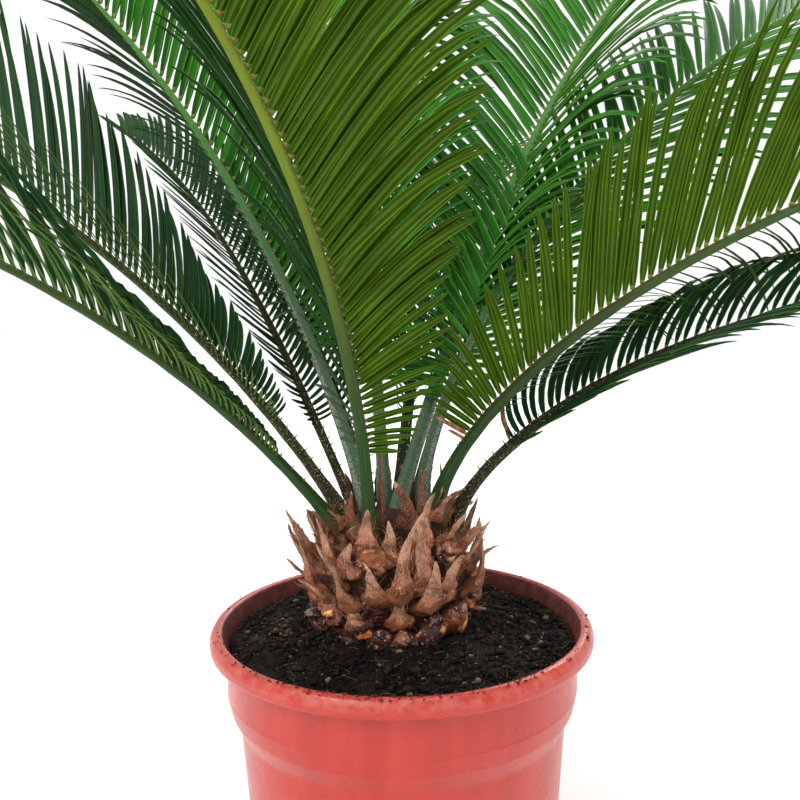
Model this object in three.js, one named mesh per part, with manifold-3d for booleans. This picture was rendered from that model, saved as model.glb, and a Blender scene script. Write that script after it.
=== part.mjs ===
// Sago palm in a terracotta-coloured nursery pot. Millimetres, +Z up.
// Origin: centre of the pot's flat underside. -Y is the front of the plant.
import * as THREE from 'three';
import Module from 'manifold-3d';
import { mergeVertices } from 'three/addons/utils/BufferGeometryUtils.js';

const wasm = await Module();
wasm.setup();

// ---- driving dimensions ----
const GAP = 0.3; // between pieces that touch
const ROUND = 42; // segments round the pot and the soil

const POT_HEIGHT = 215;
const POT_WALL = 2.6;
const POT_FLOOR = 3;
const BASE_RADIUS = 93;
const STEP_HEIGHT = 155.5; // where the upper band begins
const STEP_RADIUS = 103.4;
const BAND_HEIGHT = 174.5; // top of the curved shoulder
const BAND_RADIUS = 110;
const LIP_HEIGHT = 203.5; // underside of the rolled rim
const RIM_RADIUS = 120;
const RIM_INNER_RADIUS = 111.4;

const SOIL_EDGE = 202; // soil level at the wall
const SOIL_MOUND = 10; // rise towards the trunk
const SOIL_RINGS = [103, 88, 70, 52, 26];

const TRUNK_X = -6;
const TRUNK_FOOT = 172; // flat cut, sunk in the soil
const TRUNK_RADIUS = 47;
const TRUNK_TOP = 296;
const SCALE_COUNT = 46; // old leaf bases round the trunk
const CROWN_SCALE_COUNT = 12; // long dry scales between the stalks
const GOLDEN_ANGLE = THREE.MathUtils.degToRad(137.508);

const STALK_WIDTH = 10.8; // frond stalk at the trunk
const STALK_DEPTH = 9.4;
const STALK_TIP_WIDTH = 2.8;
const STALK_SINK = 15; // how deep a stalk goes into the trunk
const LEAFLET_PAIRS = 13;
const LEAFLET_CROWDING = 1.12; // leaflets stand closer near the foot
const LEAFLET_LENGTH = 142;
const LEAFLET_FILL = 0.74; // share of the rib that leaflets cover
const LEAFLET_KEEL = 2.2; // thickness at the midrib
const LEAFLET_SHORTEST = 14;

// Fronds, from the lowest at the front round to the back.
// azimuth and leans in degrees, leans from upright, lengths in millimetres,
// bend 1 is an even bend and less than 1 bends most near the trunk.
// girth scales the stalk, and bare is the share of the length below the first leaflets.
// keel is how far both rows of leaflets stand up from the rib's face, roll raises
// the row on one side more, sag is how much their tips hang under their weight, and
// curl is how far each turns towards the frond's tip along its own length. first is
// the share of their full length that the lowest leaflets reach.
function frond(name, bend, foot, leaflets) {
  return { name, ...bend, ...foot, ...leaflets };
}
const FRONDS = [
  frond('frond_front', { azimuth: 250, lean: 2, tipLean: 94, length: 640, bend: 0.75 },
    { girth: 0.74, bare: 0.067, out: 35, up: 288 },
    { keel: 40, roll: 8, sag: 0.6, curl: -6, first: 0.12 }),
  frond('frond_right', { azimuth: -12, lean: -2, tipLean: 87, length: 620, bend: 0.33 },
    { girth: 1, bare: 0.07, out: 30, up: 290 },
    { keel: 30, roll: 54, sag: 0.8, curl: 2, first: 0.12 }),
  frond('frond_right_low', { azimuth: 4, lean: 5, tipLean: 98, length: 560, bend: 0.32 },
    { girth: 0.95, bare: 0.1, out: 42, up: 281 },
    { keel: 32, roll: -24, sag: 0.9, curl: 62, first: 0.18 }),
  frond('frond_left', { azimuth: 178, lean: 32, tipLean: 85, length: 640, bend: 0.95 },
    { girth: 0.85, bare: 0.1, out: 34, up: 291 },
    { keel: 48, roll: 20, sag: 0.12, curl: 22, first: 0.07 }),
  frond('frond_left_low', { azimuth: 202, lean: 37, tipLean: 94, length: 580, bend: 1 },
    { girth: 0.88, bare: 0.088, out: 41, up: 287 },
    { keel: 48, roll: 16, sag: 0.4, curl: 78, first: 0.07 }),
  frond('frond_back_right_tall', { azimuth: 51, lean: 27.7, tipLean: 68.3, length: 740, bend: 1.1 },
    { girth: 0.95, bare: 0.11, out: 10, up: 289 },
    { keel: 34, roll: 0, sag: 0.8, curl: -14, first: 0.12 }),
  frond('frond_back_left_tall', { azimuth: 150, lean: 16, tipLean: 70, length: 740, bend: 0.84 },
    { girth: 0.92, bare: 0.125, out: 20, up: 296 },
    { keel: 45, roll: 35, sag: 0.4, curl: -14, first: 0.12 }),
  frond('frond_left_back', { azimuth: 130, lean: 37, tipLean: 72, length: 411, bend: 1.82 },
    { girth: 0.66, bare: 0.14, out: 41, up: 285 },
    { keel: 36, roll: 6, sag: 0.4, curl: 20, first: 0.12 }),
  frond('frond_right_tall', { azimuth: 24, lean: -6.8, tipLean: 75.5, length: 643, bend: 0.42 },
    { girth: 0.9, bare: 0.1, out: 23, up: 291 },
    { keel: 2, roll: -14, sag: 0.7, curl: -6, first: 0.12 }),
  frond('frond_back_tall', { azimuth: 100, lean: 12, tipLean: 80, length: 700, bend: 0.8 },
    { girth: 0.78, bare: 0.1, out: 22, up: 294 },
    { keel: 38, roll: 0, sag: 0.8, curl: -6, first: 0.12 }),
  frond('frond_back_low', { azimuth: 80, lean: 32, tipLean: 95, length: 610, bend: 0.8 },
    { girth: 0.8, bare: 0.1, out: 34, up: 285 },
    { keel: 40, roll: 0, sag: 0.7, curl: 30, first: 0.07 }),
  frond('frond_back_right_low', { azimuth: 66, lean: 36, tipLean: 98, length: 580, bend: 0.8 },
    { girth: 0.85, bare: 0.1, out: 42, up: 282 },
    { keel: 40, roll: 0, sag: 0.7, curl: 40, first: 0.07 }),
  frond('frond_back_left_low', { azimuth: 114, lean: 20, tipLean: 70, length: 400, bend: 0.37 },
    { girth: 0.8, bare: 0.1, out: 38, up: 284 },
    { keel: 40, roll: 0, sag: 0.7, curl: 30, first: 0.07 }),
];
const SPLIT_AT = 0.46; // share of its length where a bent frond is split
const OLD_FIRST = 0.1; // old fronds begin with shorter leaflets than this, which curl the most

// ---- small helpers ----
const radians = THREE.MathUtils.degToRad;
const clamp = THREE.MathUtils.clamp;
const mix = THREE.MathUtils.lerp;

// A repeatable number from 0 to 1 for each whole number.
function chance(n) {
  const s = Math.sin(n * 12.9898 + 4.1414) * 43758.5453;
  return s - Math.floor(s);
}

// Moves every vertex of a geometry through a function.
function reshape(geometry, place) {
  const position = geometry.attributes.position;
  const p = new THREE.Vector3();
  for (let i = 0; i < position.count; i += 1) {
    p.fromBufferAttribute(position, i);
    place(p);
    position.setXYZ(i, p.x, p.y, p.z);
  }
  return geometry;
}

function solid(geometry) {
  const plain = geometry.clone();
  plain.deleteAttribute('normal');
  plain.deleteAttribute('uv');
  const merged = mergeVertices(plain, 1e-4);
  const vertProperties = new Float32Array(merged.attributes.position.array);
  const triVerts = new Uint32Array(merged.index.array);
  return new wasm.Manifold(new wasm.Mesh({ numProp: 3, vertProperties, triVerts }));
}

function geometryOf(body) {
  const mesh = body.getMesh();
  const geometry = new THREE.BufferGeometry();
  const position = new Float32Array(mesh.vertProperties);
  geometry.setAttribute('position', new THREE.BufferAttribute(position, 3));
  geometry.setIndex(new THREE.BufferAttribute(new Uint32Array(mesh.triVerts), 1));
  geometry.computeVertexNormals();
  return geometry;
}

function boxesMeet(a, b) {
  return [0, 1, 2].every((k) => a.min[k] <= b.max[k] && b.min[k] <= a.max[k]);
}

function touches(body, others) {
  const box = body.boundingBox();
  return others.some((other) => {
    if (!boxesMeet(box, other.box)) return false;
    return body.intersect(other.body).volume() > 1e-6;
  });
}

// A turned solid about +Z from a profile of [radius, height].
function turned(profile, segments) {
  const points = profile.map(([r, z]) => new THREE.Vector2(r, z));
  const geometry = new THREE.LatheGeometry(points, segments);
  geometry.rotateX(Math.PI / 2);
  return geometry;
}

// ---- pot ----
function makePot() {
  const inside = (r) => r - POT_WALL;
  const profile = [
    [0, 0],
    [BASE_RADIUS - 3, 0],
    [BASE_RADIUS, 3],
    [STEP_RADIUS - 0.8, STEP_HEIGHT - 3],
    [STEP_RADIUS, STEP_HEIGHT],
    [mix(STEP_RADIUS, BAND_RADIUS, 0.72), mix(STEP_HEIGHT, BAND_HEIGHT, 0.5)],
    [BAND_RADIUS, BAND_HEIGHT],
    [BAND_RADIUS, LIP_HEIGHT],
    [RIM_RADIUS - 1, LIP_HEIGHT],
    [RIM_RADIUS, LIP_HEIGHT + 2],
    [RIM_RADIUS, POT_HEIGHT - 4],
    [RIM_RADIUS - 2.4, POT_HEIGHT - 0.8],
    [RIM_INNER_RADIUS + 3.4, POT_HEIGHT],
    [RIM_INNER_RADIUS + 0.6, POT_HEIGHT - 1],
    [RIM_INNER_RADIUS - 0.4, POT_HEIGHT - 4],
    [inside(BAND_RADIUS), LIP_HEIGHT - 4],
    [inside(BAND_RADIUS), BAND_HEIGHT],
    [inside(STEP_RADIUS), STEP_HEIGHT - 2],
    [inside(BASE_RADIUS), POT_FLOOR + 3],
    [inside(BASE_RADIUS) - 3, POT_FLOOR],
    [0, POT_FLOOR],
  ];
  return solid(turned(profile, ROUND));
}

// ---- soil ----
function soilLevel(x, y) {
  const r = Math.hypot(x - TRUNK_X * 0.5, y);
  const rise = SOIL_MOUND * (1 - THREE.MathUtils.smoothstep(r, 50, 108));
  const lumps = Math.sin(x * 0.11 + 1.3) * Math.cos(y * 0.09 - 0.4) + 0.6 * Math.sin(x * 0.05 - y * 0.16);
  return SOIL_EDGE + rise + 1.1 * lumps;
}

function makeSoil(foot) {
  const wall = (r) => r - POT_WALL - GAP;
  const surface = SOIL_RINGS.map((r) => [r, SOIL_EDGE]);
  const profile = [
    [0, POT_FLOOR + GAP],
    [wall(BASE_RADIUS) - 3.2, POT_FLOOR + GAP],
    [wall(BASE_RADIUS), POT_FLOOR + 3.2],
    [wall(STEP_RADIUS) - 0.2, STEP_HEIGHT - 2],
    [wall(BAND_RADIUS) - 0.2, BAND_HEIGHT + 1],
    [wall(BAND_RADIUS) - 0.2, SOIL_EDGE - 5],
    ...surface,
    [0, SOIL_EDGE],
  ];
  const geometry = reshape(turned(profile, ROUND), (p) => {
    if (p.z > SOIL_EDGE - 0.5) p.z = soilLevel(p.x, p.y);
  });
  return solid(geometry).subtract(foot);
}

// ---- trunk ----
function trunkCore(grow) {
  const r = TRUNK_RADIUS;
  const profile = [
    [0, TRUNK_FOOT - grow],
    [r + 2 + grow, TRUNK_FOOT - grow],
    [r - 1 + grow, 190],
    [r - 1 + grow, 214],
    [r + 2 + grow, 232],
    [r + 2 + grow, 250],
    [r - 3 + grow, 268],
    [r - 14 + grow, 284],
    [r - 30 + grow, TRUNK_TOP - 3 + grow],
    [0, TRUNK_TOP + grow],
  ];
  return turned(profile, 20).translate(TRUNK_X, 0, 0);
}

// Radius and outward tilt of the trunk's surface at a height.
function trunkSurface(z) {
  const t = clamp((z - 250) / (TRUNK_TOP - 250), 0, 1);
  const radius = (TRUNK_RADIUS + 1) * Math.sqrt(1 - t * t * 0.92);
  return { radius, tilt: radians(mix(64, 22, t)) };
}

// One old leaf base: a four-sided stub whose dry point bends upwards.
function leafBase({ turn, height, width, depth, length, tilt, hook }) {
  const { radius } = trunkSurface(height);
  const out = new THREE.Vector3(Math.cos(turn), Math.sin(turn), 0);
  const side = new THREE.Vector3(Math.sin(turn), -Math.cos(turn), 0);
  const root = out.clone().multiplyScalar(radius - 5).setZ(height);
  root.x += TRUNK_X;
  const stub = new THREE.CylinderGeometry(0, 1, 1, 4, 2, false, Math.PI / 4);
  return reshape(stub, (p) => {
    const t = p.y + 0.5;
    const fat = t > 0.99 ? 0 : mix(1, 0.7, t) / (1 - t);
    const lean = tilt - hook * t;
    const along = new THREE.Vector3(0, 0, Math.cos(lean)).addScaledVector(out, Math.sin(lean));
    const across = side.clone().cross(along);
    const sideways = p.x * 1.414 * (width / 2) * fat;
    const inward = p.z * 1.414 * (depth / 2) * fat;
    p.copy(root).addScaledVector(along, t * length);
    p.addScaledVector(side, sideways).addScaledVector(across, inward);
  });
}

function makeTrunk(stalkHoles) {
  let body = solid(trunkCore(0));
  for (let i = 0; i < SCALE_COUNT; i += 1) {
    const share = i / (SCALE_COUNT - 1);
    const height = mix(225, 281, share);
    const surface = trunkSurface(height);
    body = body.add(solid(leafBase({
      turn: i * GOLDEN_ANGLE,
      height,
      width: mix(23, 15, share),
      depth: mix(14, 9, share),
      length: mix(17, 34, share * share) + 12 * chance(i),
      tilt: surface.tilt + radians(12 * chance(i + 50)),
      hook: radians(mix(26, 30, share)),
    })));
  }
  for (let i = 0; i < CROWN_SCALE_COUNT; i += 1) {
    body = body.add(solid(leafBase({
      turn: (i + 0.5) * GOLDEN_ANGLE + 0.4,
      height: mix(279, 290, chance(i + 200)),
      width: 8.5,
      depth: 5,
      length: 34 + 20 * chance(i + 300),
      tilt: radians(mix(34, 12, i / CROWN_SCALE_COUNT)),
      hook: radians(8),
    })));
  }
  for (const hole of stalkHoles) body = body.subtract(hole);
  return keepLargest(body);
}

// Cutting can free small scraps; the main body is kept.
function keepLargest(body) {
  const pieces = body.decompose();
  return pieces.reduce((a, b) => (a.volume() > b.volume() ? a : b));
}

// ---- fronds ----
// The rib's curve: a bend in one upright plane, from STALK_SINK below its foot.
function ribCurve(frond) {
  const turn = radians(frond.azimuth);
  const steps = 160;
  const total = frond.length + STALK_SINK;
  const points = [];
  const p = new THREE.Vector3(
    TRUNK_X + frond.out * Math.cos(turn),
    frond.out * Math.sin(turn),
    frond.up,
  );
  const first = ribHeading(frond, 0);
  p.addScaledVector(first, -STALK_SINK);
  for (let i = 0; i <= steps; i += 1) {
    points.push(p.clone());
    const s = ((i + 0.5) / steps) * total - STALK_SINK;
    p.addScaledVector(ribHeading(frond, s / frond.length), total / steps);
  }
  return points;
}

// Direction of the rib at a share of its length.
function ribHeading(frond, share) {
  const turn = radians(frond.azimuth);
  const bent = Math.pow(clamp(share, 0, 1), frond.bend);
  const lean = radians(mix(frond.lean, frond.tipLean, bent));
  const flat = Math.sin(lean);
  return new THREE.Vector3(flat * Math.cos(turn), flat * Math.sin(turn), Math.cos(lean));
}

// Point, heading, side and upper face of the rib at s millimetres from its foot.
function ribAt(frond, s) {
  const turn = radians(frond.azimuth);
  const total = frond.length + STALK_SINK;
  const place = clamp((s + STALK_SINK) / total, 0, 1) * (frond.rib.length - 1);
  const i = Math.min(Math.floor(place), frond.rib.length - 2);
  const point = frond.rib[i].clone().lerp(frond.rib[i + 1], place - i);
  const heading = ribHeading(frond, s / frond.length);
  const side = new THREE.Vector3(Math.sin(turn), -Math.cos(turn), 0);
  const face = side.clone().cross(heading);
  return { point, heading, side, face };
}

function ribHalfWidth(frond, s) {
  const share = clamp(s / frond.length, 0, 1);
  return (mix(STALK_WIDTH, STALK_TIP_WIDTH, Math.pow(share, 0.95)) * frond.girth) / 2;
}

function ribHalfDepth(frond, s) {
  const share = clamp(s / frond.length, 0, 1);
  return (mix(STALK_DEPTH, STALK_TIP_WIDTH, Math.pow(share, 0.5)) * frond.girth) / 2;
}

// A four-sided rib through the given distances from its foot.
function ribPiece(frond, stations, grow) {
  const spans = stations.length - 1;
  const tube = new THREE.CylinderGeometry(1.25, 1.25, 1, 4, spans, false, Math.PI / 4);
  return solid(reshape(tube, (p) => {
    const s = stations[Math.round((p.y + 0.5) * spans)];
    const at = ribAt(frond, s);
    const wide = p.x * (ribHalfWidth(frond, s) + grow);
    const deep = p.z * (ribHalfDepth(frond, s) + grow);
    p.copy(at.point).addScaledVector(at.side, wide).addScaledVector(at.face, deep);
  }));
}

// Leaflet length along the rib, as a share of the longest.
function leafletShare(frond, u) {
  const slow = THREE.MathUtils.smoothstep(u, -0.02, 0.5);
  const fast = 1 - Math.pow(1 - clamp(u / 0.4, 0, 1), 1.25);
  const rise = mix(frond.first, 1, frond.first < OLD_FIRST ? slow : fast);
  const fall = Math.pow(Math.max(0, (u - 0.38) / 0.62), 2);
  return rise * (1 - 0.52 * fall);
}

// Angle between a leaflet and the rib where it leaves it.
function leafletAngle(u) {
  const nearFoot = 1 - THREE.MathUtils.smoothstep(u, 0, 0.16);
  const late = Math.pow(Math.max(0, (u - 0.3) / 0.7), 1.2);
  return radians(58 + 38 * nearFoot - 6 * Math.min(u / 0.3, 1) - 28 * late);
}

// Distance of a leaflet from the frond's foot.
function leafletPlace(frond, u) {
  return mix(frond.length * frond.bare, frond.length - 2, Math.pow(u, LEAFLET_CROWDING));
}

// One leaflet: three-sided, flat above and keeled below, bent once.
function leaflet(frond, u, hand, { reach, lift, grow }) {
  const s = leafletPlace(frond, u);
  const at = ribAt(frond, s);
  const half = ribHalfWidth(frond, s);
  const pitch = (frond.length * (1 - frond.bare)) / LEAFLET_PAIRS;
  const angle = leafletAngle(u);
  const length = LEAFLET_LENGTH * frond.size * leafletShare(frond, u) * reach + grow;
  const width = Math.min(pitch * Math.sin(angle) * LEAFLET_FILL, length * 0.4) + 2 * grow;
  const thick = LEAFLET_KEEL + 2 * grow;
  const roll = radians(frond.roll) * (1 - 0.5 * u);
  const old = frond.first < OLD_FIRST;
  const nearFoot = old ? Math.exp(-u / 0.12) : 0;
  const spreadOut = old ? 0.8 * THREE.MathUtils.smoothstep(u, 0.1, 0.45) : 0.35 * u;
  const rise = radians(frond.keel + 24 * nearFoot) + lift + hand * roll;
  const curl = radians(frond.curl) * (1 - spreadOut) * (1 + 0.6 * nearFoot);
  const sag = frond.sag * (length / LEAFLET_LENGTH);
  const headingAt = (t) => {
    const open = angle - curl * t;
    const straight = at.heading.clone().multiplyScalar(Math.cos(open))
      .addScaledVector(at.side, hand * Math.sin(open) * Math.cos(rise))
      .addScaledVector(at.face, Math.sin(open) * Math.sin(rise));
    straight.z -= sag * Math.pow(t, 2.5);
    return straight.normalize();
  };
  const stations = [0, 0.42, 1];
  const root = at.point.clone().addScaledVector(at.side, hand * half * 0.3);
  const points = [root];
  for (let i = 1; i < stations.length; i += 1) {
    const step = (stations[i] - stations[i - 1]) * length;
    const middle = (stations[i] + stations[i - 1]) / 2;
    points.push(points[i - 1].clone().addScaledVector(headingAt(middle), step));
  }
  const widths = [Math.min(width, half * 2.2) * 0.8, width, 0];
  const blade = new THREE.CylinderGeometry(0, 1, 1, 3, 2);
  return solid(reshape(blade, (p) => {
    const i = Math.round((p.y + 0.5) * 2);
    const along = headingAt(stations[i]);
    const wide = at.heading.clone().addScaledVector(along, -at.heading.dot(along));
    wide.normalize().multiplyScalar(hand);
    const below = wide.clone().cross(along);
    const shrink = i === 2 ? 0 : 1 / (1 - i / 2);
    const x = (p.x * shrink) / 0.866;
    const z = (p.z * shrink + 0.5) / 1.5;
    p.copy(points[i]).addScaledVector(wide, (x * widths[i]) / 2);
    p.addScaledVector(below, z * thick - grow);
  }));
}

// A leaflet that would touch something else is raised, lowered or shortened.
const TRIES = [];
for (const reach of [1, 0.84, 0.68, 0.52, 0.38, 0.26]) {
  for (const lift of [0, -12, 12, -24]) TRIES.push({ reach, lift: radians(lift) });
}

function makeFrondHalf(frond, half, others) {
  let body = half.rib;
  for (let i = 0; i < LEAFLET_PAIRS; i += 1) {
    const u = (i + 0.5) / LEAFLET_PAIRS;
    const s = leafletPlace(frond, u);
    if (s < half.from + 3 || s >= half.to) continue;
    for (const hand of [1, -1]) {
      const fit = TRIES.find((way) => {
        if (LEAFLET_LENGTH * leafletShare(frond, u) * way.reach < LEAFLET_SHORTEST) return false;
        return !touches(leaflet(frond, u, hand, { ...way, grow: 0.4 }), others);
      });
      if (fit) body = body.add(leaflet(frond, u, hand, { ...fit, grow: 0 }));
    }
  }
  return body;
}

// ---- assembly ----
const paint = {
  pot: { color: '#d2503f', roughness: 0.35, metalness: 0 },
  soil: { color: '#231a15', roughness: 0.95, metalness: 0 },
  trunk: { color: '#6b4530', roughness: 0.9, metalness: 0 },
  frond: { color: '#2f5f24', roughness: 0.5, metalness: 0 },
};

const palm = new THREE.Group();

function addPiece(name, body, finish) {
  const piece = new THREE.Mesh(geometryOf(body), new THREE.MeshStandardMaterial(paint[finish]));
  piece.name = name;
  palm.add(piece);
}

const halves = [];
const stalkHoles = [];
for (const frond of FRONDS) {
  frond.size = frond.length / 640;
  frond.rib = ribCurve(frond);
  const split = frond.length * SPLIT_AT;
  const lower = [25, 60, mix(60, split, 0.33), mix(60, split, 0.67)];
  const upper = [split + GAP, ...[0.25, 0.5, 0.75, 1].map((t) => mix(split, frond.length, t))];
  stalkHoles.push(ribPiece(frond, [-STALK_SINK - GAP, ...lower], GAP));
  halves.push({
    frond,
    name: `${frond.name}_inner`,
    from: 0,
    to: split,
    rib: ribPiece(frond, [-STALK_SINK, ...lower, split], 0),
  });
  halves.push({
    frond,
    name: `${frond.name}_outer`,
    from: split + GAP,
    to: frond.length,
    rib: ribPiece(frond, upper, 0),
  });
}

const trunk = makeTrunk(stalkHoles);
const placed = [{ name: 'trunk', body: trunk, box: trunk.boundingBox() }];
for (const half of halves) {
  placed.push({ name: half.name, body: half.rib, box: half.rib.boundingBox() });
}
for (const half of halves) {
  const others = placed.filter((piece) => piece.name !== half.name);
  const body = makeFrondHalf(half.frond, half, others);
  const mine = placed.find((piece) => piece.name === half.name);
  mine.body = body;
  mine.box = body.boundingBox();
}

addPiece('pot', makePot(), 'pot');
addPiece('potting_soil', makeSoil(solid(trunkCore(GAP))), 'soil');
addPiece('trunk', trunk, 'trunk');
for (const half of halves) {
  addPiece(half.name, placed.find((piece) => piece.name === half.name).body, 'frond');
}

export default palm;
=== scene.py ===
"""A sago palm in its pot: leaflets, stalks, trunk scales, soil and pot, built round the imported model."""
import itertools
import math
from dataclasses import dataclass

import bpy
import numpy as np
from mathutils import Matrix, Vector


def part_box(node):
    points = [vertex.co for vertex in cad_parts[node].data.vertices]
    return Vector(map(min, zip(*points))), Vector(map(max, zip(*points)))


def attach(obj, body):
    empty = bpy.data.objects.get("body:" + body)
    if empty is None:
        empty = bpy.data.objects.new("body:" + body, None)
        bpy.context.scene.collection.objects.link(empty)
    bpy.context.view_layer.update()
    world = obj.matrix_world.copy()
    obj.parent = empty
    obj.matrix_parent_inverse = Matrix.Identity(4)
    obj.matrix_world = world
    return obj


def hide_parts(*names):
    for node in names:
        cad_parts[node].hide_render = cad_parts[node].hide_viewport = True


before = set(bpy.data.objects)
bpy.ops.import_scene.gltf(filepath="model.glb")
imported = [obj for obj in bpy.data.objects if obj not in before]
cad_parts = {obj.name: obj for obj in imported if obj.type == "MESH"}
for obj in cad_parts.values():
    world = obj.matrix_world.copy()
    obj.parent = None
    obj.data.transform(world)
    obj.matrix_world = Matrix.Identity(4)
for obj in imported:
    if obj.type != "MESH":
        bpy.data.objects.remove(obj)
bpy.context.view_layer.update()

MM = 0.001  # lengths below are in millimetres, as in the solids
GAP = 0.3
UP = np.array([0.0, 0.0, 1.0])
GOLDEN_ANGLE = math.radians(137.508)

# ---- pot, soil and trunk, with the solids' own sizes ----
POT_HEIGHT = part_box("pot")[1].z / MM
POT_WALL = 2.6
POT_FLOOR = 3
POT_ROUND = 256
BASE_RADIUS = 93
STEP_HEIGHT = 155.5
STEP_RADIUS = 103.4
BAND_HEIGHT = 174.5
BAND_RADIUS = 110
LIP_HEIGHT = 203.5
RIM_RADIUS = 120
RIM_INNER_RADIUS = 111.4
RIM_CREST = RIM_INNER_RADIUS + 3.4
SOIL_EDGE = 202
SOIL_SPREAD = (50, 106)  # radii between which crumbs lie
SOIL_MOUND = 10
SOIL_HEAP = 2.4  # loose crumbs lie this much over the solid's soil
TRUNK_X = -6
TRUNK_FOOT = 172
TRUNK_RADIUS = 47
TRUNK_TOP = 296

# ---- sizes of the fronds ----
FROND_LENGTH = 640  # of the frond that the leaflet sizes below are for
STALK_WIDTH = 10.8
STALK_DEPTH = 9.4
STALK_TIP_WIDTH = 2.8
STALK_SINK = 15
STALK_ROUND = 16
LEAFLET_LENGTH = 142
LEAFLET_WIDTH = 7
LEAFLET_PITCH = 8
LEAFLET_CROWDING = 1.2  # leaflets stand closer near the foot
RIB_CLEARANCE = 2.5
SHORTEST_LEAFLET = 8
KIND_WIDTHS = {"outer": 0.82, "young": 0.78, "mature": 1}

LEAFLET_SEED = 100
SPINE_SEED = 11
TRUNK_SEED = 7
LITTER_SEED = 5


@dataclass(frozen=True)
class Row:
    """How one row of a frond's leaflets differs: which row, its leaflets' turn about themselves, how much
    wider they open at the foot and further up, where they begin, their size and sag, and their colours."""

    hand: float = 0
    twist: float = -10
    foot_opening: float = 0
    opening: float = 0
    start: float = 0
    length: float = 1
    width: float = 1
    sag: float = 1
    leaf: str = ""


@dataclass
class Frond:
    """A frond's place, size and bend.

    Leans are in degrees from upright, and out and up are where its stalk meets the trunk. Girth scales the
    stalk, bare is the share of its length below the first leaflets, and first is how long those are. Spacing
    and broad scale its leaflets, and longer sets one row ahead of the other.
    """

    name: str
    azimuth: float
    lean: float
    tip_lean: float
    length: float
    girth: float
    bare: float
    bend: float
    out: float
    up: float
    keel: float
    roll: float
    sag: float
    curl: float
    leaf: str
    stalk: str
    first: float = 0.12
    spacing: float = 1
    broad: float = 1
    longer: float = 0
    row: Row = Row()

    def is_old(self):
        """Old fronds begin with very short leaflets that curl the most."""
        return self.first < 0.1


FRONDS = [
    Frond("front", 250, 2, 94, 640, 0.74, 0.067, 0.75, 35, 288, 40, 8, 0.6, -6, "mature", "yellowing",
          spacing=0.82, broad=1.3, longer=0.06, row=Row(1, -16, width=0.9, leaf="shaded")),
    Frond("right", -12, -2, 87, 620, 1, 0.07, 0.33, 30, 290, 30, 54, 0.8, 2, "mature", "smooth",
          spacing=0.74, broad=0.77, row=Row(-1, -36, 0, 26, start=0.07, width=0.45, leaf="outer")),
    Frond("right_low", 4, 5, 98, 560, 0.95, 0.1, 0.32, 42, 281, 32, -24, 0.9, 62, "outer", "speckled",
          first=0.18, spacing=0.9, broad=0.74, row=Row(1, 40, width=0.75)),
    Frond("left", 178, 32, 85, 640, 0.85, 0.1, 0.95, 34, 291, 48, 20, 0.12, 22, "outer", "speckled",
          first=0.07, spacing=0.66, broad=0.69, row=Row(-1, 30, width=0.62, leaf="fringe")),
    Frond("left_low", 202, 37, 94, 580, 0.88, 0.088, 1, 41, 287, 48, 16, 0.4, 78, "outer", "smooth",
          first=0.07, spacing=0.74, broad=0.74, row=Row(-1, 30, width=0.7, leaf="fringe")),
    Frond("back_right_tall", 51, 27.7, 68.3, 740, 0.95, 0.11, 1.1, 10, 289, 34, 0, 0.8, -14, "young",
          "felted", spacing=0.8, broad=1.1, row=Row(1, -10, 10, 24)),
    Frond("back_left_tall", 150, 16, 70, 740, 0.92, 0.125, 0.84, 20, 296, 45, 35, 0.4, -14, "young", "felted",
          broad=1.4, row=Row(-1, -40, 20, 28, length=0.66, width=0.6, leaf="shaded")),
    Frond("left_back", 130, 37, 72, 411, 0.66, 0.14, 1.82, 41, 285, 36, 6, 0.4, 20, "outer", "speckled",
          spacing=0.8, broad=0.9, row=Row(-1, -10, 25, 25, length=0.62, leaf="shaded")),
    Frond("right_tall", 24, -6.8, 75.5, 643, 0.9, 0.1, 0.42, 23, 291, 2, -14, 0.7, -6, "young", "felted",
          spacing=0.75, broad=1.05, row=Row(-1, -10, width=0.85, sag=0.12)),
    Frond("back_tall", 100, 12, 80, 700, 0.78, 0.1, 0.8, 22, 294, 38, 0, 0.8, -6, "young", "felted",
          spacing=0.85, broad=1.2),
    Frond("back_low", 80, 32, 95, 610, 0.8, 0.1, 0.8, 34, 285, 40, 0, 0.7, 30, "outer", "dark",
          first=0.07),
    Frond("back_right_low", 66, 36, 98, 580, 0.85, 0.1, 0.8, 42, 282, 40, 0, 0.7, 40, "outer", "speckled",
          first=0.07),
    Frond("back_left_low", 114, 20, 70, 400, 0.8, 0.1, 0.37, 38, 284, 40, 0, 0.7, 30, "outer", "speckled",
          first=0.07),
]
# The lowest leaflets of these rows are dry: each one's share of its length, and how much wider it opens.
DRIED = {"right": (1, [(0.6, 0), (1, 0)]), "right_low": (-1, [(1, -30)])}


# ---- numbers ----
def mix(a, b, share):
    return a + (b - a) * share


def smoothstep(low, high, x):
    t = np.clip((x - low) / (high - low), 0, 1)
    return t * t * (3 - 2 * t)


def smooth_noise(points, size, seed=0.0):
    """Smooth noise from -1 to 1, with bumps about one size across."""
    place = np.asarray(points, float) / size
    cell = np.floor(place)
    inside = place - cell
    inside = inside * inside * (3 - 2 * inside)
    total = np.zeros(place.shape[:-1])
    for corner in itertools.product((0, 1), repeat=3):
        corner = np.array(corner)
        weight = np.prod(np.where(corner, inside, 1 - inside), axis=-1)
        wave = np.sin((cell + corner) @ np.array([127.1, 311.7, 74.7]) + seed) * 43758.5453
        total = total + weight * (wave - np.floor(wave))
    return 2 * total - 1


def unit(vectors):
    return vectors / np.maximum(np.linalg.norm(vectors, axis=-1, keepdims=True), 1e-9)


def turn_about(vectors, axes, angles):
    """Turns each vector about its own unit axis by its own angle."""
    c = np.cos(angles)[..., None]
    s = np.sin(angles)[..., None]
    dot = np.sum(vectors * axes, axis=-1, keepdims=True)
    return vectors * c + np.cross(axes, vectors) * s + axes * dot * (1 - c)


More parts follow.
